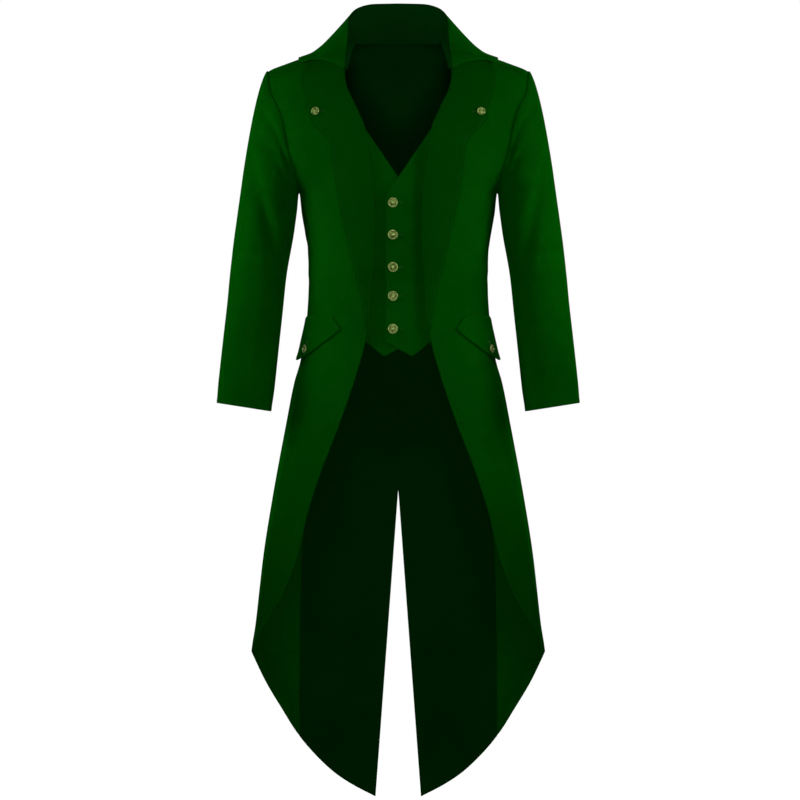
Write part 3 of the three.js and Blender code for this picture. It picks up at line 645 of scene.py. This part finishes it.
def new_material(name):
    material = bpy.data.materials.new(name)
    material.use_nodes = True
    tree = material.node_tree
    return material, tree, tree.nodes["Principled BSDF"]


def set_inputs(tree, node, inputs):
    """Sets a node's inputs to values or to other nodes' outputs."""
    for key, value in inputs.items():
        if isinstance(value, bpy.types.NodeSocket):
            tree.links.new(value, node.inputs[key])
        else:
            node.inputs[key].default_value = value


def add_node(tree, kind, inputs=None, **settings):
    node = tree.nodes.new("ShaderNode" + kind)
    for key, value in settings.items():
        setattr(node, key, value)
    set_inputs(tree, node, inputs or {})
    return node


def noise(tree, place, scale, detail=2, roughness=0.5):
    inputs = {"Vector": place, "Scale": scale, "Detail": detail, "Roughness": roughness}
    return add_node(tree, "TexNoise", inputs).outputs["Fac"]


def maths(tree, operation, *values):
    return add_node(tree, "Math", dict(enumerate(values)), operation=operation).outputs[0]


def ranged(tree, value, low, high):
    """A value from 0 to 1, brought to between low and high."""
    return add_node(tree, "MapRange", {"Value": value, "To Min": low, "To Max": high}).outputs[0]


def ramp(tree, factor, low, high, start=0.3, end=0.7):
    """A colour that runs from low to high as the factor rises."""
    node = add_node(tree, "ValToRGB", {"Fac": factor})
    first, last = node.color_ramp.elements
    first.position, first.color = start, (*low, 1)
    last.position, last.color = end, (*high, 1)
    return node.outputs["Color"]


def bumps(tree, height, strength, rise_mm, normal=None):
    """The normal of a surface that a height raises, over another normal if there is one."""
    inputs = {"Height": height, "Strength": strength, "Distance": rise_mm * MM}
    if normal is not None:
        inputs["Normal"] = normal
    return add_node(tree, "Bump", inputs).outputs["Normal"]


# The tint of gloss, the twill's slope, the wave scale at which its threads lie 1 mm apart, the
# twill's share of the shade, how far shade moves the colour, and the nap's crumples and roughness
GREEN_GLOSS = (0.01, 0.75, 0.02, 1)
TWILL_DEGREES = 62
WAVE_SCALE_AT_1_MM = 314
TWILL_SHARE = 0.9
SHADE_SHARE = 0.345
CRUMPLE_MM = 2.0
ROUGHNESS_SPREAD = 0.06


def woven(name, dark, light, roughness, sheen, thread_mm, bump_mm):
    """Cloth with a fine twill, slow shade changes and a faint nap."""
    material, tree, shader = new_material(name)
    place = add_node(tree, "TexCoord").outputs
    slow = noise(tree, place["Object"], 9, 4, 0.55)
    fine = noise(tree, place["Object"], 900)
    turn = (0, 0, math.radians(TWILL_DEGREES))
    turned = add_node(tree, "Mapping", {"Vector": place["UV"], "Rotation": turn}).outputs[0]
    scale = WAVE_SCALE_AT_1_MM / thread_mm
    wave = {"Vector": turned, "Scale": scale, "Distortion": 0.6, "Detail": 1}
    twill = add_node(tree, "TexWave", wave, wave_type="BANDS").outputs["Fac"]
    threads = maths(tree, "MULTIPLY_ADD", twill, TWILL_SHARE, maths(tree, "ADD", slow, fine))
    shade = maths(tree, "MULTIPLY", threads, SHADE_SHARE)
    weave = bumps(tree, twill, 0.8, bump_mm)
    crumple = noise(tree, place["Object"], 26, 3)
    set_inputs(tree, shader, {
        "Base Color": ramp(tree, shade, dark, light),
        "Normal": bumps(tree, crumple, 0.35, CRUMPLE_MM, weave),
        "Roughness": ranged(tree, fine, roughness - ROUGHNESS_SPREAD, roughness + ROUGHNESS_SPREAD),
        "Specular IOR Level": 0,
        "Specular Tint": GREEN_GLOSS,
        "Sheen Weight": sheen,
        "Sheen Roughness": 0.4,
        "Sheen Tint": GREEN_GLOSS,
    })
    return material


def thread_material(name, colour):
    """Twisted sewing thread."""
    material, tree, shader = new_material(name)
    strand = noise(tree, add_node(tree, "TexCoord").outputs["Object"], 2600)
    set_inputs(tree, shader, {
        "Base Color": ramp(tree, strand, tuple(0.7 * c for c in colour), colour),
        "Roughness": 0.6,
        "Specular IOR Level": 0.15,
    })
    return material


def aged_brass(name):
    """Brass that is dark in its hollows and bright on its raised rims, partly as rubbed wear and
    partly as a painted highlight.
    """
    material, tree, shader = new_material(name)
    spots = noise(tree, add_node(tree, "TexCoord").outputs["Object"], 420, 5)
    worn_and_highlit = maths(tree, "MULTIPLY", spots, add_node(tree, "NewGeometry").outputs["Pointiness"])
    set_inputs(tree, shader, {
        # The bright end of this ramp is rubbed wear and also a painted highlight on the rims.
        "Base Color": ramp(tree, worn_and_highlit, (0.02, 0.035, 0.002), (0.34, 0.46, 0.12), 0.18, 0.36),
        "Roughness": ranged(tree, spots, 0.24, 0.52),
        "Normal": bumps(tree, spots, 0.4, 0.08),
        "Metallic": 0.8,
    })
    return material


LOOKS = dict(
    cloth=woven(
        "green_cloth", (0.0002, 0.031, 0.0003), (0.0006, 0.064, 0.0006),
        roughness=0.86, sheen=0.06, thread_mm=1.0, bump_mm=0.22,
    ),
    lining=woven(
        "dark_lining", (0.0004, 0.017, 0.0014), (0.0007, 0.0265, 0.002),
        roughness=0.7, sheen=0.004, thread_mm=0.5, bump_mm=0.05,
    ),
    # Painted shade: the revers' facing is the green cloth made darker, for the shade the revers lie
    # in.
    facing=woven(
        "green_facing_painted_shade", (0.0002, 0.025, 0.0003), (0.0005, 0.044, 0.0005),
        roughness=0.84, sheen=0.04, thread_mm=0.7, bump_mm=0.1,
    ),
    brass=aged_brass("aged_brass"),
)
THREAD_LOOK = thread_material("green_thread", (0.001, 0.07, 0.001))


# The body's panels

def both_sides(build):
    for name, side in (("left", 1), ("right", -1)):
        build(name, side)


def make_forepart(which, side):
    z = levels(NECK_Z, WAIST_Z - SEAM_TUCK, ARMPIT_Z, SHOULDER_Z)
    grid = body_panel(z, fore_edge, fore_side, tuck=(-0.6, SEAM_TUCK), side=side)
    cloth(f"forepart_{which}", grid, "cloth", ("start",), side=side)


def make_side_body(which, side):
    z = levels(SIDE_BACK_TOP_Z - 1, WAIST_Z - SEAM_TUCK, ARMPIT_Z)
    grid = body_panel(z, side_body_front, side_back, side=side)
    cloth(f"side_body_{which}", grid, "cloth", side=side)


def make_back(which, side):
    z = levels(NECK_Z, TAIL_TIP_Z, SHOULDER_Z, SIDE_BACK_TOP_Z, SIDE_BACK_HEM_Z)
    grid = body_panel(z, centre_back, back_side, side=side)
    cloth(f"back_{which}", grid, "cloth", side=side)


def make_skirt(which, side):
    z = levels(WAIST_Z + SEAM_TUCK, SIDE_BACK_HEM_Z, SKIRT_CORNER_Z)
    grid = body_panel(z, fore_edge, side_back, side=side)
    cloth(f"skirt_{which}", grid, "cloth", ("start",), side=side)


def make_back_lining(which, side):
    """It lies just inside the back, and keeps a little in from the vent and from the side."""
    def start(z):
        margin = -LINING_MARGIN * smooth((VENT_TOP_Z - z) / 60)
        return centre_back(z) + margin * 180 / (math.pi * hull_half_width(z))

    def end(z):
        return back_side(z) + LINING_MARGIN * 180 / (math.pi * hull_half_width(z))

    def lift(d, u):
        return np.full(u.shape, -(CLOTH / 2 + LINING_EASE + LINING_CLOTH / 2))

    z = levels(NECK_Z - 0.2, TAIL_TIP_Z + 2.5, SHOULDER_Z, SIDE_BACK_TOP_Z, SIDE_BACK_HEM_Z)
    grid = body_panel(z, start, end, lift, tuck=(0.2, 0), side=side)
    cloth(
        f"back_lining_{which}", grid, "lining", thickness=LINING_CLOTH, side=side,
    )


def make_revers(which, side):
    """It turns over the forepart's edge in a soft roll and lies on the chest."""
    z = levels(REVERS_TOP_Z, REVERS_END_Z)

    def end(z):
        return hull_degrees(revers_edge_x(z), z, "front")

    def lift(d, u):
        roll = np.sqrt(np.clip(1 - (1 - np.minimum(d / REVERS_ROLL, 1)) ** 2, 0, 1))
        swell = REVERS_SWELL * np.sin(math.pi * np.minimum(1, u * 1.2))
        return (LAYER + EASE + swell) * roll

    grid = body_panel(z, fore_edge, end, lift, tuck=(1.2, 0), side=side)
    # The facing look paints the revers darker than the chest: painted shade.
    cloth(
        f"revers_{which}", grid, "facing", ("end",), side=side,
    )


# The sleeves

sleeve_x = curve(SLEEVE, "x")
sleeve_y = curve(SLEEVE, "y")
sleeve_half_width = curve(SLEEVE, "half_width")
sleeve_half_depth = curve(SLEEVE, "half_depth")


def armhole_place(degrees):
    wrapped = degrees % 360
    middle, reach = (SHOULDER_Z + ARMPIT_Z) / 2, (SHOULDER_Z - ARMPIT_Z) / 2
    z = middle + reach * np.cos(np.radians(wrapped))
    angle = hull_degrees(armhole_x(z), z, "front")
    p = hull_point(np.where(wrapped > 180, angle, 180 - angle), z)
    return p, unit(hull_gradient(p))


def sleeve_ring(degrees, z):
    angle = np.radians(degrees)
    slant = CUFF_SLANT * smooth((CAP_END_Z - z) / (CAP_END_Z - CUFF_Z))
    return np.stack([
        sleeve_x(z) + sleeve_half_width(z) * np.cos(angle),
        sleeve_y(z) + sleeve_half_depth(z) * np.sin(angle),
        z + slant * np.cos(angle),
    ], axis=-1)


def sleeve_smooth(degrees, along):
    """The sleeve without folds. 0 to 1 along it is the cap, and 1 to 2 the arm down to the cuff."""
    degrees, along = np.broadcast_arrays(degrees, along)
    ring = sleeve_ring(degrees, mix(CAP_END_Z, CUFF_Z, np.maximum(along - 1, 0)))
    p, n = armhole_place(degrees)
    end = sleeve_ring(degrees, np.full(degrees.shape, float(CAP_END_Z)))
    cos, sin = np.cos(np.radians(degrees)), np.sin(np.radians(degrees))
    reach = np.linalg.norm(p - end, axis=-1)[..., None]
    leaving = np.stack([0.42 + 0.18 * cos, 0.3 * sin, -0.82 + 0.04 * cos], axis=-1)
    start = p + n * (LAYER + EASE) - leaving * SLEEVE_HEAD_LAP
    arriving = np.array([0.14, 0, -0.99]) * 0.8 * reach
    t = np.clip(along, 0, 1)[..., None]
    t2, t3 = t**2, t**3
    cap = start * (2 * t3 - 3 * t2 + 1) + leaving * 0.45 * reach * (t3 - 2 * t2 + t)
    cap = cap + end * (3 * t2 - 2 * t3) + arriving * (t3 - t2)
    sewn = 1 - smooth(t * reach / SLEEVE_HEAD_ROLL)
    cap = cap + (p - start) * sewn
    return np.where(along[..., None] > 1, ring, cap)


def sleeve_place(degrees, along, side=1):
    degrees, along = np.broadcast_arrays(degrees, along)
    p = sleeve_smooth(degrees, along)
    round_it = sleeve_smooth(degrees + 0.5, along) - sleeve_smooth(degrees - 0.5, along)
    ahead = np.minimum(2, along + 0.002)
    behind = np.maximum(0, ahead - 0.004)
    down = sleeve_smooth(degrees, ahead) - sleeve_smooth(degrees, behind)
    n = unit(np.cross(down, round_it))
    pressed = folds(SLEEVE_FOLDS, degrees, p[..., 2], side, SLEEVE_MM_PER_DEGREE)
    pressed = pressed * smooth(along / 0.25)
    return p - n * pressed[..., None], n


def sleeve_grid(start, end, side):
    cap = np.concatenate([[0, 0.002, 0.006, 0.012, 0.022], np.linspace(0.04, 1, 34)])
    arm = np.linspace(1, 1.99, 52)[1:]
    along = np.concatenate([cap, arm, [1.9945, 1.9974, 1.999, 2.0]])
    width = np.full(len(along), abs(end - start) * SLEEVE_MM_PER_DEGREE)
    tuck = SLEEVE_TUCK_DEGREES * np.sign(end - start)
    u = columns(width, 5)
    degrees = mix(start - tuck, end + tuck, u)
    p, n = sleeve_place(degrees, along[:, None], side)
    return SimpleNamespace(p=p, n=n)


def make_sleeve(which, side):
    upper = sleeve_grid(FORE_SEAM_DEGREES - 360, HIND_SEAM_DEGREES, side)
    under = sleeve_grid(HIND_SEAM_DEGREES, FORE_SEAM_DEGREES, side)
    for name, grid in (("upper", upper), ("under", under)):
        cloth(
            f"{name}_sleeve_{which}", grid, "cloth", ("last",), side=side,
        )


# The collar

def vectors(rows, name, at):
    return np.stack([curve(rows, f"{name}_{axis}", "at")(at) for axis in "xyz"], axis=-1)


def neck_seam(at):
    back_share = 0.66
    t = np.clip((at - back_share) / (1 - back_share), 0, 1)
    z = mix(NECK_Z, COLLAR_END_Z, t**1.2)
    behind = hull_point(mix(180, 96, np.minimum(at / back_share, 1)), np.full(at.shape, NECK_Z))
    before = hull_point(hull_degrees(front_edge_x(z), z, "front"), z)
    return np.where((at < back_share)[..., None], behind, before)


def collar_paths(at):
    """For each place along the collar, its path from the neck seam over the roll to the edge."""
    frontness = smooth((at - 0.5) / 0.4)[:, None]
    clearance = CLOTH / 2 + SEAM_GAP + COLLAR_CLOTH / 2 + 0.4 * EASE
    over_revers = clearance + LAYER + 2 * EASE

    def rest(p):
        """Lifts the collar clear of the revers near the front, and of the coat elsewhere."""
        beside = smooth((revers_edge_x(p[..., 2]) + 9 - p[..., 0]) / 12)
        below = smooth((REVERS_TOP_Z + 9 - p[..., 2]) / 10) * (p[..., 1] < 0)
        return lift_off(p, mix(clearance, over_revers, beside * below))

    neck = neck_seam(at)
    inward = np.stack([-neck[:, 0], -neck[:, 1] * (1 - frontness[:, 0]), 0 * at], axis=-1)
    seam = neck + unit(inward) * (clearance + mix(STAND_LAP[0], 1.2, frontness))
    seam[:, 2] = neck[:, 2] + mix(-STAND_LAP[1], SEAM_GAP, frontness[:, 0])
    roll = rest(vectors(COLLAR, "roll", at))
    edge, sag = vectors(COLLAR, "edge", at), vectors(COLLAR, "sag", at)
    outward = unit((edge - seam) * [1, 1, 0])
    radius = np.minimum(COLLAR_FOLD_RADIUS, 0.4 * np.linalg.norm(roll - seam, axis=-1))[:, None]
    inside = roll - outward * radius - radius * [0, 0, 1]
    outside = roll + outward * radius - radius * [0, 0, 1]
    path = [seam]
    over = (inside[:, 0] > neck[:, 0] - clearance) & (at > 0.6)
    for step in range(1, COLLAR_STAND_STEPS + 1):
        up = mix(seam, inside, step / COLLAR_STAND_STEPS)
        path.append(np.where(over[:, None], rest(up), up))
    path.append(roll)
    for step in range(COLLAR_FALL_STEPS + 1):
        t = step / COLLAR_FALL_STEPS
        down = mix(mix(outside, sag, t), mix(sag, edge, t), t)
        path.append(rest(down))
    return np.stack(path, axis=1)


def spline(points, at):
    """Places along smooth curves through points, one curve for each row. at counts the points."""
    last = points.shape[1] - 1
    padded = np.concatenate([
        2 * points[:, :1] - points[:, 1:2], points, 2 * points[:, -1:] - points[:, -2:-1]
    ], axis=1)
    i = np.clip(np.floor(at).astype(int), 0, last - 1)
    t = (at - i)[None, :, None]
    a, b, c, d = (padded[:, i + k] for k in range(4))
    return 0.5 * (
        2 * b + (c - a) * t + (2 * a - 5 * b + 4 * c - d) * t**2 + (3 * b - a - 3 * c + d) * t**3
    )


def surface_normals(p):
    down = np.gradient(p, axis=0)
    across = np.gradient(p, axis=1)
    return unit(np.cross(down, across))


def make_collar():
    ends = 1 - np.array(EDGE_STEPS[:-1]) / COLLAR_HALF_LENGTH
    half = np.unique(np.concatenate([np.linspace(0, 0.98, 46), ends]))
    at = np.concatenate([-half[:0:-1], half])
    path = collar_paths(np.abs(at))
    path[..., 0] *= np.where(at < 0, -1, 1)[:, None]
    stand_at = np.concatenate([[0, 0.02, 0.06], np.linspace(0.12, 3.5, 15), [3.6, 3.66, 3.7]])
    roll_at = np.concatenate([[3.7, 3.74, 3.8], np.linspace(3.9, 5.2, 12)])
    fall_at = np.concatenate([np.linspace(5.35, 10.75, 30), [10.86, 10.93, 10.97, 11]])
    everything = np.concatenate([stand_at, roll_at[1:], fall_at])
    p = spline(path, everything)
    n = surface_normals(p)
    cut = len(stand_at)
    stand = SimpleNamespace(p=p[:, :cut], n=n[:, :cut])
    fall = SimpleNamespace(p=p[:, cut - 1:], n=n[:, cut - 1:])
    cloth(
        "collar_stand", stand, "lining", thickness=COLLAR_CLOTH,
    )
    cloth(
        "collar_fall", fall, "cloth", ("end", "first", "last"),
        thickness=COLLAR_CLOTH,
    )


# The waistcoat front

def waistcoat_place(x, z, lift):
    x, z = np.broadcast_arrays(np.asarray(x, float), np.asarray(z, float))
    outer = smooth((np.abs(x) - 50) / (WAISTCOAT_REACH - 54))
    inset = mix(WAISTCOAT_INSET, LAYER + 1.4 * EASE, outer)
    p = hull_point(hull_degrees(np.abs(x), z, "front"), z)
    n = unit(hull_gradient(p))
    p = p + n * (lift - inset)[..., None]
    sign = np.where(x < 0, -1.0, 1.0)
    p[..., 0] *= sign
    n = n.copy()
    n[..., 0] *= sign
    return p, n


def waistcoat_lap(outward):
    return (LAYER + EASE) * (1 - smooth((outward - 26) / 20))


def waistcoat_creases(x, z):
    """Slight pulls between the buttons."""
    pull = np.zeros(np.broadcast(x, z).shape)
    for i, button in enumerate(WAISTCOAT_BUTTON_ZS):
        below = button - 27 + 4 * math.sin(3 * i)
        bend = z - below - 0.12 * np.abs(x) * math.cos(2 * i)
        pull = pull + 0.9 * np.exp(-((bend / 7) ** 2)) * np.exp(-((x - 14) / 34) ** 2)
    return pull


def waistcoat_grid(sign, laps):
    u = columns(np.array([WAISTCOAT_REACH - WAISTCOAT_LAP_X]), 5)[0]
    outward = mix(WAISTCOAT_LAP_X, WAISTCOAT_REACH, u)
    top = WAISTCOAT_V_Z + WAISTCOAT_V_SLOPE * outward
    hem = waistcoat_hem_z(outward)
    v = columns(np.array([WAISTCOAT_LENGTH]), 5.5)[0][:, None]
    z = mix(top, hem, v)
    lift = waistcoat_lap(outward) if laps else np.zeros(outward.shape)
    lift = np.broadcast_to(lift, z.shape) - waistcoat_creases(sign * outward, z)
    p, n = waistcoat_place(sign * outward, z, lift)
    return SimpleNamespace(p=p, n=n)


def make_waistcoat():
    right, left = waistcoat_grid(-1, False), waistcoat_grid(1, True)
    free = ("start", "first", "last")
    cloth(
        "waistcoat_right", right, "cloth", free,
    )
    cloth(
        "waistcoat_left", left, "cloth", free,
    )


# The pocket flaps

def flap_place(degrees, share, side=1):
    frontness = 1 - smooth((degrees - FLAP["degrees"][0]) / 24)
    z = WAIST_Z - flap_drop(degrees) * share
    standing = mix(0.12, 1, smooth((degrees - 56) / 24))
    stand_off = FLAP_STAND_OFF * standing * share**1.5
    slanted = degrees - FLAP_FRONT_SLANT_DEGREES * frontness * share
    out_of_seam = smooth(flap_drop(degrees) * share / 8)
    return body_place(slanted, z, (LAYER + 0.5 * EASE) * out_of_seam + stand_off, side)


def make_pocket_flap(which, side):
    u = columns(np.array([FLAP_LENGTH]), 5)[0]
    v = columns(np.array([FLAP_DEPTH]), 5)[0]
    degrees = mix(FLAP["degrees"][0], FLAP["degrees"][-1], u)
    p, n = flap_place(degrees[None, :], v[:, None], side)
    cloth(
        f"pocket_flap_{which}", SimpleNamespace(p=p, n=n), "cloth", ("start", "end", "last"),
        side=side,
    )


# Buttons

def ring_of(profile, segments):
    """The points and faces of a turned shape, its axis along +Z. profile holds (radius, height)."""
    angle = np.linspace(0, 2 * math.pi, segments, endpoint=False)
    r, h = np.array(profile, float).T
    x, y = r[:, None] * np.cos(angle), r[:, None] * np.sin(angle)
    points = np.stack([x, y, np.broadcast_to(h[:, None], x.shape)], axis=-1)
    index = np.arange(points.shape[0] * segments).reshape(-1, segments)
    after = np.roll(index, -1, axis=1)
    faces = np.stack([index[:-1], after[:-1], after[1:], index[1:]], axis=-1).reshape(-1, 4)
    return points.reshape(-1, 3), faces


def button_shape(diameter):
    """A domed face with a rope-like rim, a ring of beads, and twelve flutes round a middle boss."""
    r = diameter / 2
    profile = [
        (0.001, 0), (0.26, 0), (0.28, 0.04), (0.28, 0.16), (0.86, 0.2), (0.96, 0.26), (1.0, 0.34),
        (0.99, 0.4), (0.94, 0.45), (0.87, 0.47), (0.8, 0.45), (0.76, 0.4), (0.74, 0.33),
        (0.72, 0.31), (0.62, 0.33), (0.52, 0.355), (0.42, 0.375), (0.34, 0.385), (0.3, 0.4),
        (0.27, 0.45), (0.2, 0.49), (0.1, 0.5), (0.001, 0.5),
    ]
    points, faces = ring_of(profile, 96)
    radius = np.hypot(points[:, 0], points[:, 1])
    angle = np.arctan2(points[:, 1], points[:, 0])
    face = points[:, 2] > 0.25
    flutes = np.exp(-(((radius - 0.5) / 0.16) ** 2)) * np.cos(12 * angle)
    rope = np.exp(-(((radius - 0.87) / 0.06) ** 2)) * np.cos(32 * angle + 14 * radius)
    points[:, 2] += face * (0.035 * flutes + 0.018 * rope)
    return points * r, faces


def aligned(n):
    """The turn that takes +Z to n, as three columns."""
    turn = Vector((0, 0, 1)).rotation_difference(Vector(n)).to_matrix()
    return np.array(turn)


def make_button(node, diameter, p, n):
    points, faces = button_shape(diameter)
    base = p + n * (CLOTH / 2 + SEAM_GAP)
    placed = points @ aligned(n).T + base
    uvs = points[:, :2]
    piece = mesh_object(node + "_brass", placed, faces, uvs, LOOKS["brass"])
    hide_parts(node)


def flipped(p, n, side):
    return p * [side, 1, 1], n * [side, 1, 1]


def make_buttonhole(name, line, side=1):
    """The end of a hole that its button leaves uncovered: two rows of close stitches."""
    p, n = line
    p = p + n * CLOTH / 2
    beside = unit(np.cross(n, np.gradient(p, axis=0)))
    rows = [(p + beside * way * 0.6 * BUTTONHOLE_WIDTH, n) for way in (-1, 1)]
    add_stitches(
        name, rows, side, pitch=BUTTONHOLE_PITCH, length=BUTTONHOLE_WIDTH, across=True
    )


def make_buttonholes():
    run = np.linspace(0, BUTTONHOLE_SHOWN, 12)
    for i, z in enumerate(WAISTCOAT_BUTTON_ZS):
        x = WAISTCOAT_BUTTON_X + BUTTON_LARGE / 2 + run
        lift = waistcoat_lap(x) - waistcoat_creases(x, np.full(x.shape, float(z)))
        line = waistcoat_place(x, z, lift)
        make_buttonhole(f"waistcoat_buttonhole_{i + 1}", line)

    def pair(which, side):
        x = REVERS_BUTTON["x"] - BUTTON_SMALL / 2 - run
        z = np.full(x.shape, float(REVERS_BUTTON["z"]))
        line = body_place(hull_degrees(x, z, "front"), z, LAYER + EASE + 0.6, side)
        make_buttonhole(f"revers_buttonhole_{which}", line, side)
        degrees = np.full(run.shape, float(FLAP_BUTTON["degrees"]))
        share = (FLAP_BUTTON["drop"] - BUTTON_SMALL / 2 - run) / flap_drop(degrees)
        make_buttonhole(f"flap_buttonhole_{which}", flap_place(degrees, share, side), side)

    both_sides(pair)


def make_vent_stay():
    """A short stitched bar that keeps the vent from tearing further up."""
    x = np.linspace(-9, 9, 12)
    z = np.full(x.shape, VENT_TOP_Z + 2.0)
    degrees = 180 - np.sign(x) * (180 - hull_degrees(np.abs(x), z, "back"))
    p, n = body_place(degrees, z)
    add_stitches(
        "vent_stay", [(p + n * CLOTH / 2, n)], 1, pitch=BUTTONHOLE_PITCH, across=True
    )


def make_buttons():
    for i, z in enumerate(WAISTCOAT_BUTTON_ZS):
        p, n = waistcoat_place(WAISTCOAT_BUTTON_X, z, np.array(LAYER + EASE))
        make_button(f"waistcoat_button_{i + 1}", BUTTON_LARGE, p, n)

    def pair(which, side):
        z = np.array(float(REVERS_BUTTON["z"]))
        p, n = body_place(hull_degrees(REVERS_BUTTON["x"], z, "front"), z, LAYER + EASE)
        make_button(f"revers_button_{which}", BUTTON_SMALL, *flipped(p, n, side))
        degrees = np.array(float(FLAP_BUTTON["degrees"]))
        share = FLAP_BUTTON["drop"] / flap_drop(degrees)
        p, n = flap_place(degrees, share)
        make_button(f"flap_button_{which}", BUTTON_SMALL, *flipped(p, n, side))

    both_sides(pair)


# Camera, light and floor

PHOTO_PIXELS = 800
MM_PER_PIXEL = 1.8
VIEW_CENTRE = (3.2, -639)
CAMERA_DISTANCE = 60.0
SENSOR_MM = 36
FLOOR_REACH = 45.0
FLOOR_Z = -1.75
ROOM_LIGHT = 0.05


def make_camera():
    data = bpy.data.cameras.new("camera")
    data.sensor_width = SENSOR_MM
    data.lens = SENSOR_MM * CAMERA_DISTANCE / (PHOTO_PIXELS * MM_PER_PIXEL * MM)
    data.clip_end = 200
    camera = bpy.data.objects.new("camera", data)
    camera.location = (VIEW_CENTRE[0] * MM, -CAMERA_DISTANCE, VIEW_CENTRE[1] * MM)
    camera.rotation_euler = (math.pi / 2, 0, 0)
    bpy.context.scene.collection.objects.link(camera)
    bpy.context.scene.camera = camera


def area_light(name, place, target, size, power, spread_degrees=180):
    """A round light, with its places and size in metres and its power in watts."""
    data = bpy.data.lights.new(name, "AREA")
    data.shape, data.size, data.energy = "DISK", size, power
    data.spread = math.radians(spread_degrees)
    light = bpy.data.objects.new(name, data)
    light.location = place
    direction = Vector(target) - Vector(place)
    light.rotation_euler = direction.to_track_quat("-Z", "Y").to_euler()
    light.visible_camera = False
    bpy.context.scene.collection.objects.link(light)


def make_floor():
    """A wide pale floor under the tails. It gives the coat no light of its own."""
    mesh = bpy.data.meshes.new("studio_floor")
    corners = [(-1, -1), (1, -1), (1, 1), (-1, 1)]
    points = [(x * FLOOR_REACH, y * FLOOR_REACH, FLOOR_Z) for x, y in corners]
    mesh.from_pydata(points, [], [(0, 1, 2, 3)])
    material, tree, shader = new_material("white_paper")
    set_inputs(tree, shader, {
        "Base Color": (0.9, 0.9, 0.9, 1),
        "Roughness": 0.9,
        "Emission Color": (1, 1, 1, 1),
        "Emission Strength": 1.0,
    })
    mesh.materials.append(material)
    floor = bpy.data.objects.new("studio_floor", mesh)
    bpy.context.scene.collection.objects.link(floor)
    floor.visible_diffuse = False
    floor.visible_glossy = False


def make_studio():
    """Narrow lights close by each sleeve and above the front, wide ones behind and low in front."""
    coat = (0, 0, -0.4)
    for sign, name in ((-1, "right"), (1, "left")):
        sleeve = (0.3 * sign, 0, -0.3)
        area_light(f"side_{name}", (1.1 * sign, -0.25, -0.1), sleeve, 0.8, 2.3, spread_degrees=70)
        area_light(f"back_{name}", (1.5 * sign, 2.2, 0.7), coat, 1.0, 50)
    area_light("front", (0, -1.5, 0.6), (0, 0, -0.25), 0.5, 1.15, spread_degrees=70)
    area_light("low_front", (0, -3.2, -1.2), coat, 0.8, 36)
    world = bpy.data.worlds.new("world")
    world.use_nodes = True
    bpy.context.scene.world = world
    tree = world.node_tree
    seen = add_node(tree, "LightPath").outputs["Is Camera Ray"]
    set_inputs(tree, tree.nodes["Background"], {
        "Color": (1, 1, 1, 1),
        "Strength": ranged(tree, seen, ROOM_LIGHT, 1),
    })
    bpy.context.scene.view_settings.view_transform = "Standard"


make_camera()
make_floor()
make_studio()
both_sides(make_forepart)
both_sides(make_side_body)
both_sides(make_back)
both_sides(make_skirt)
both_sides(make_back_lining)
both_sides(make_revers)
both_sides(make_sleeve)
make_collar()
make_waistcoat()
both_sides(make_pocket_flap)
make_buttons()
make_buttonholes()
make_vent_stay()
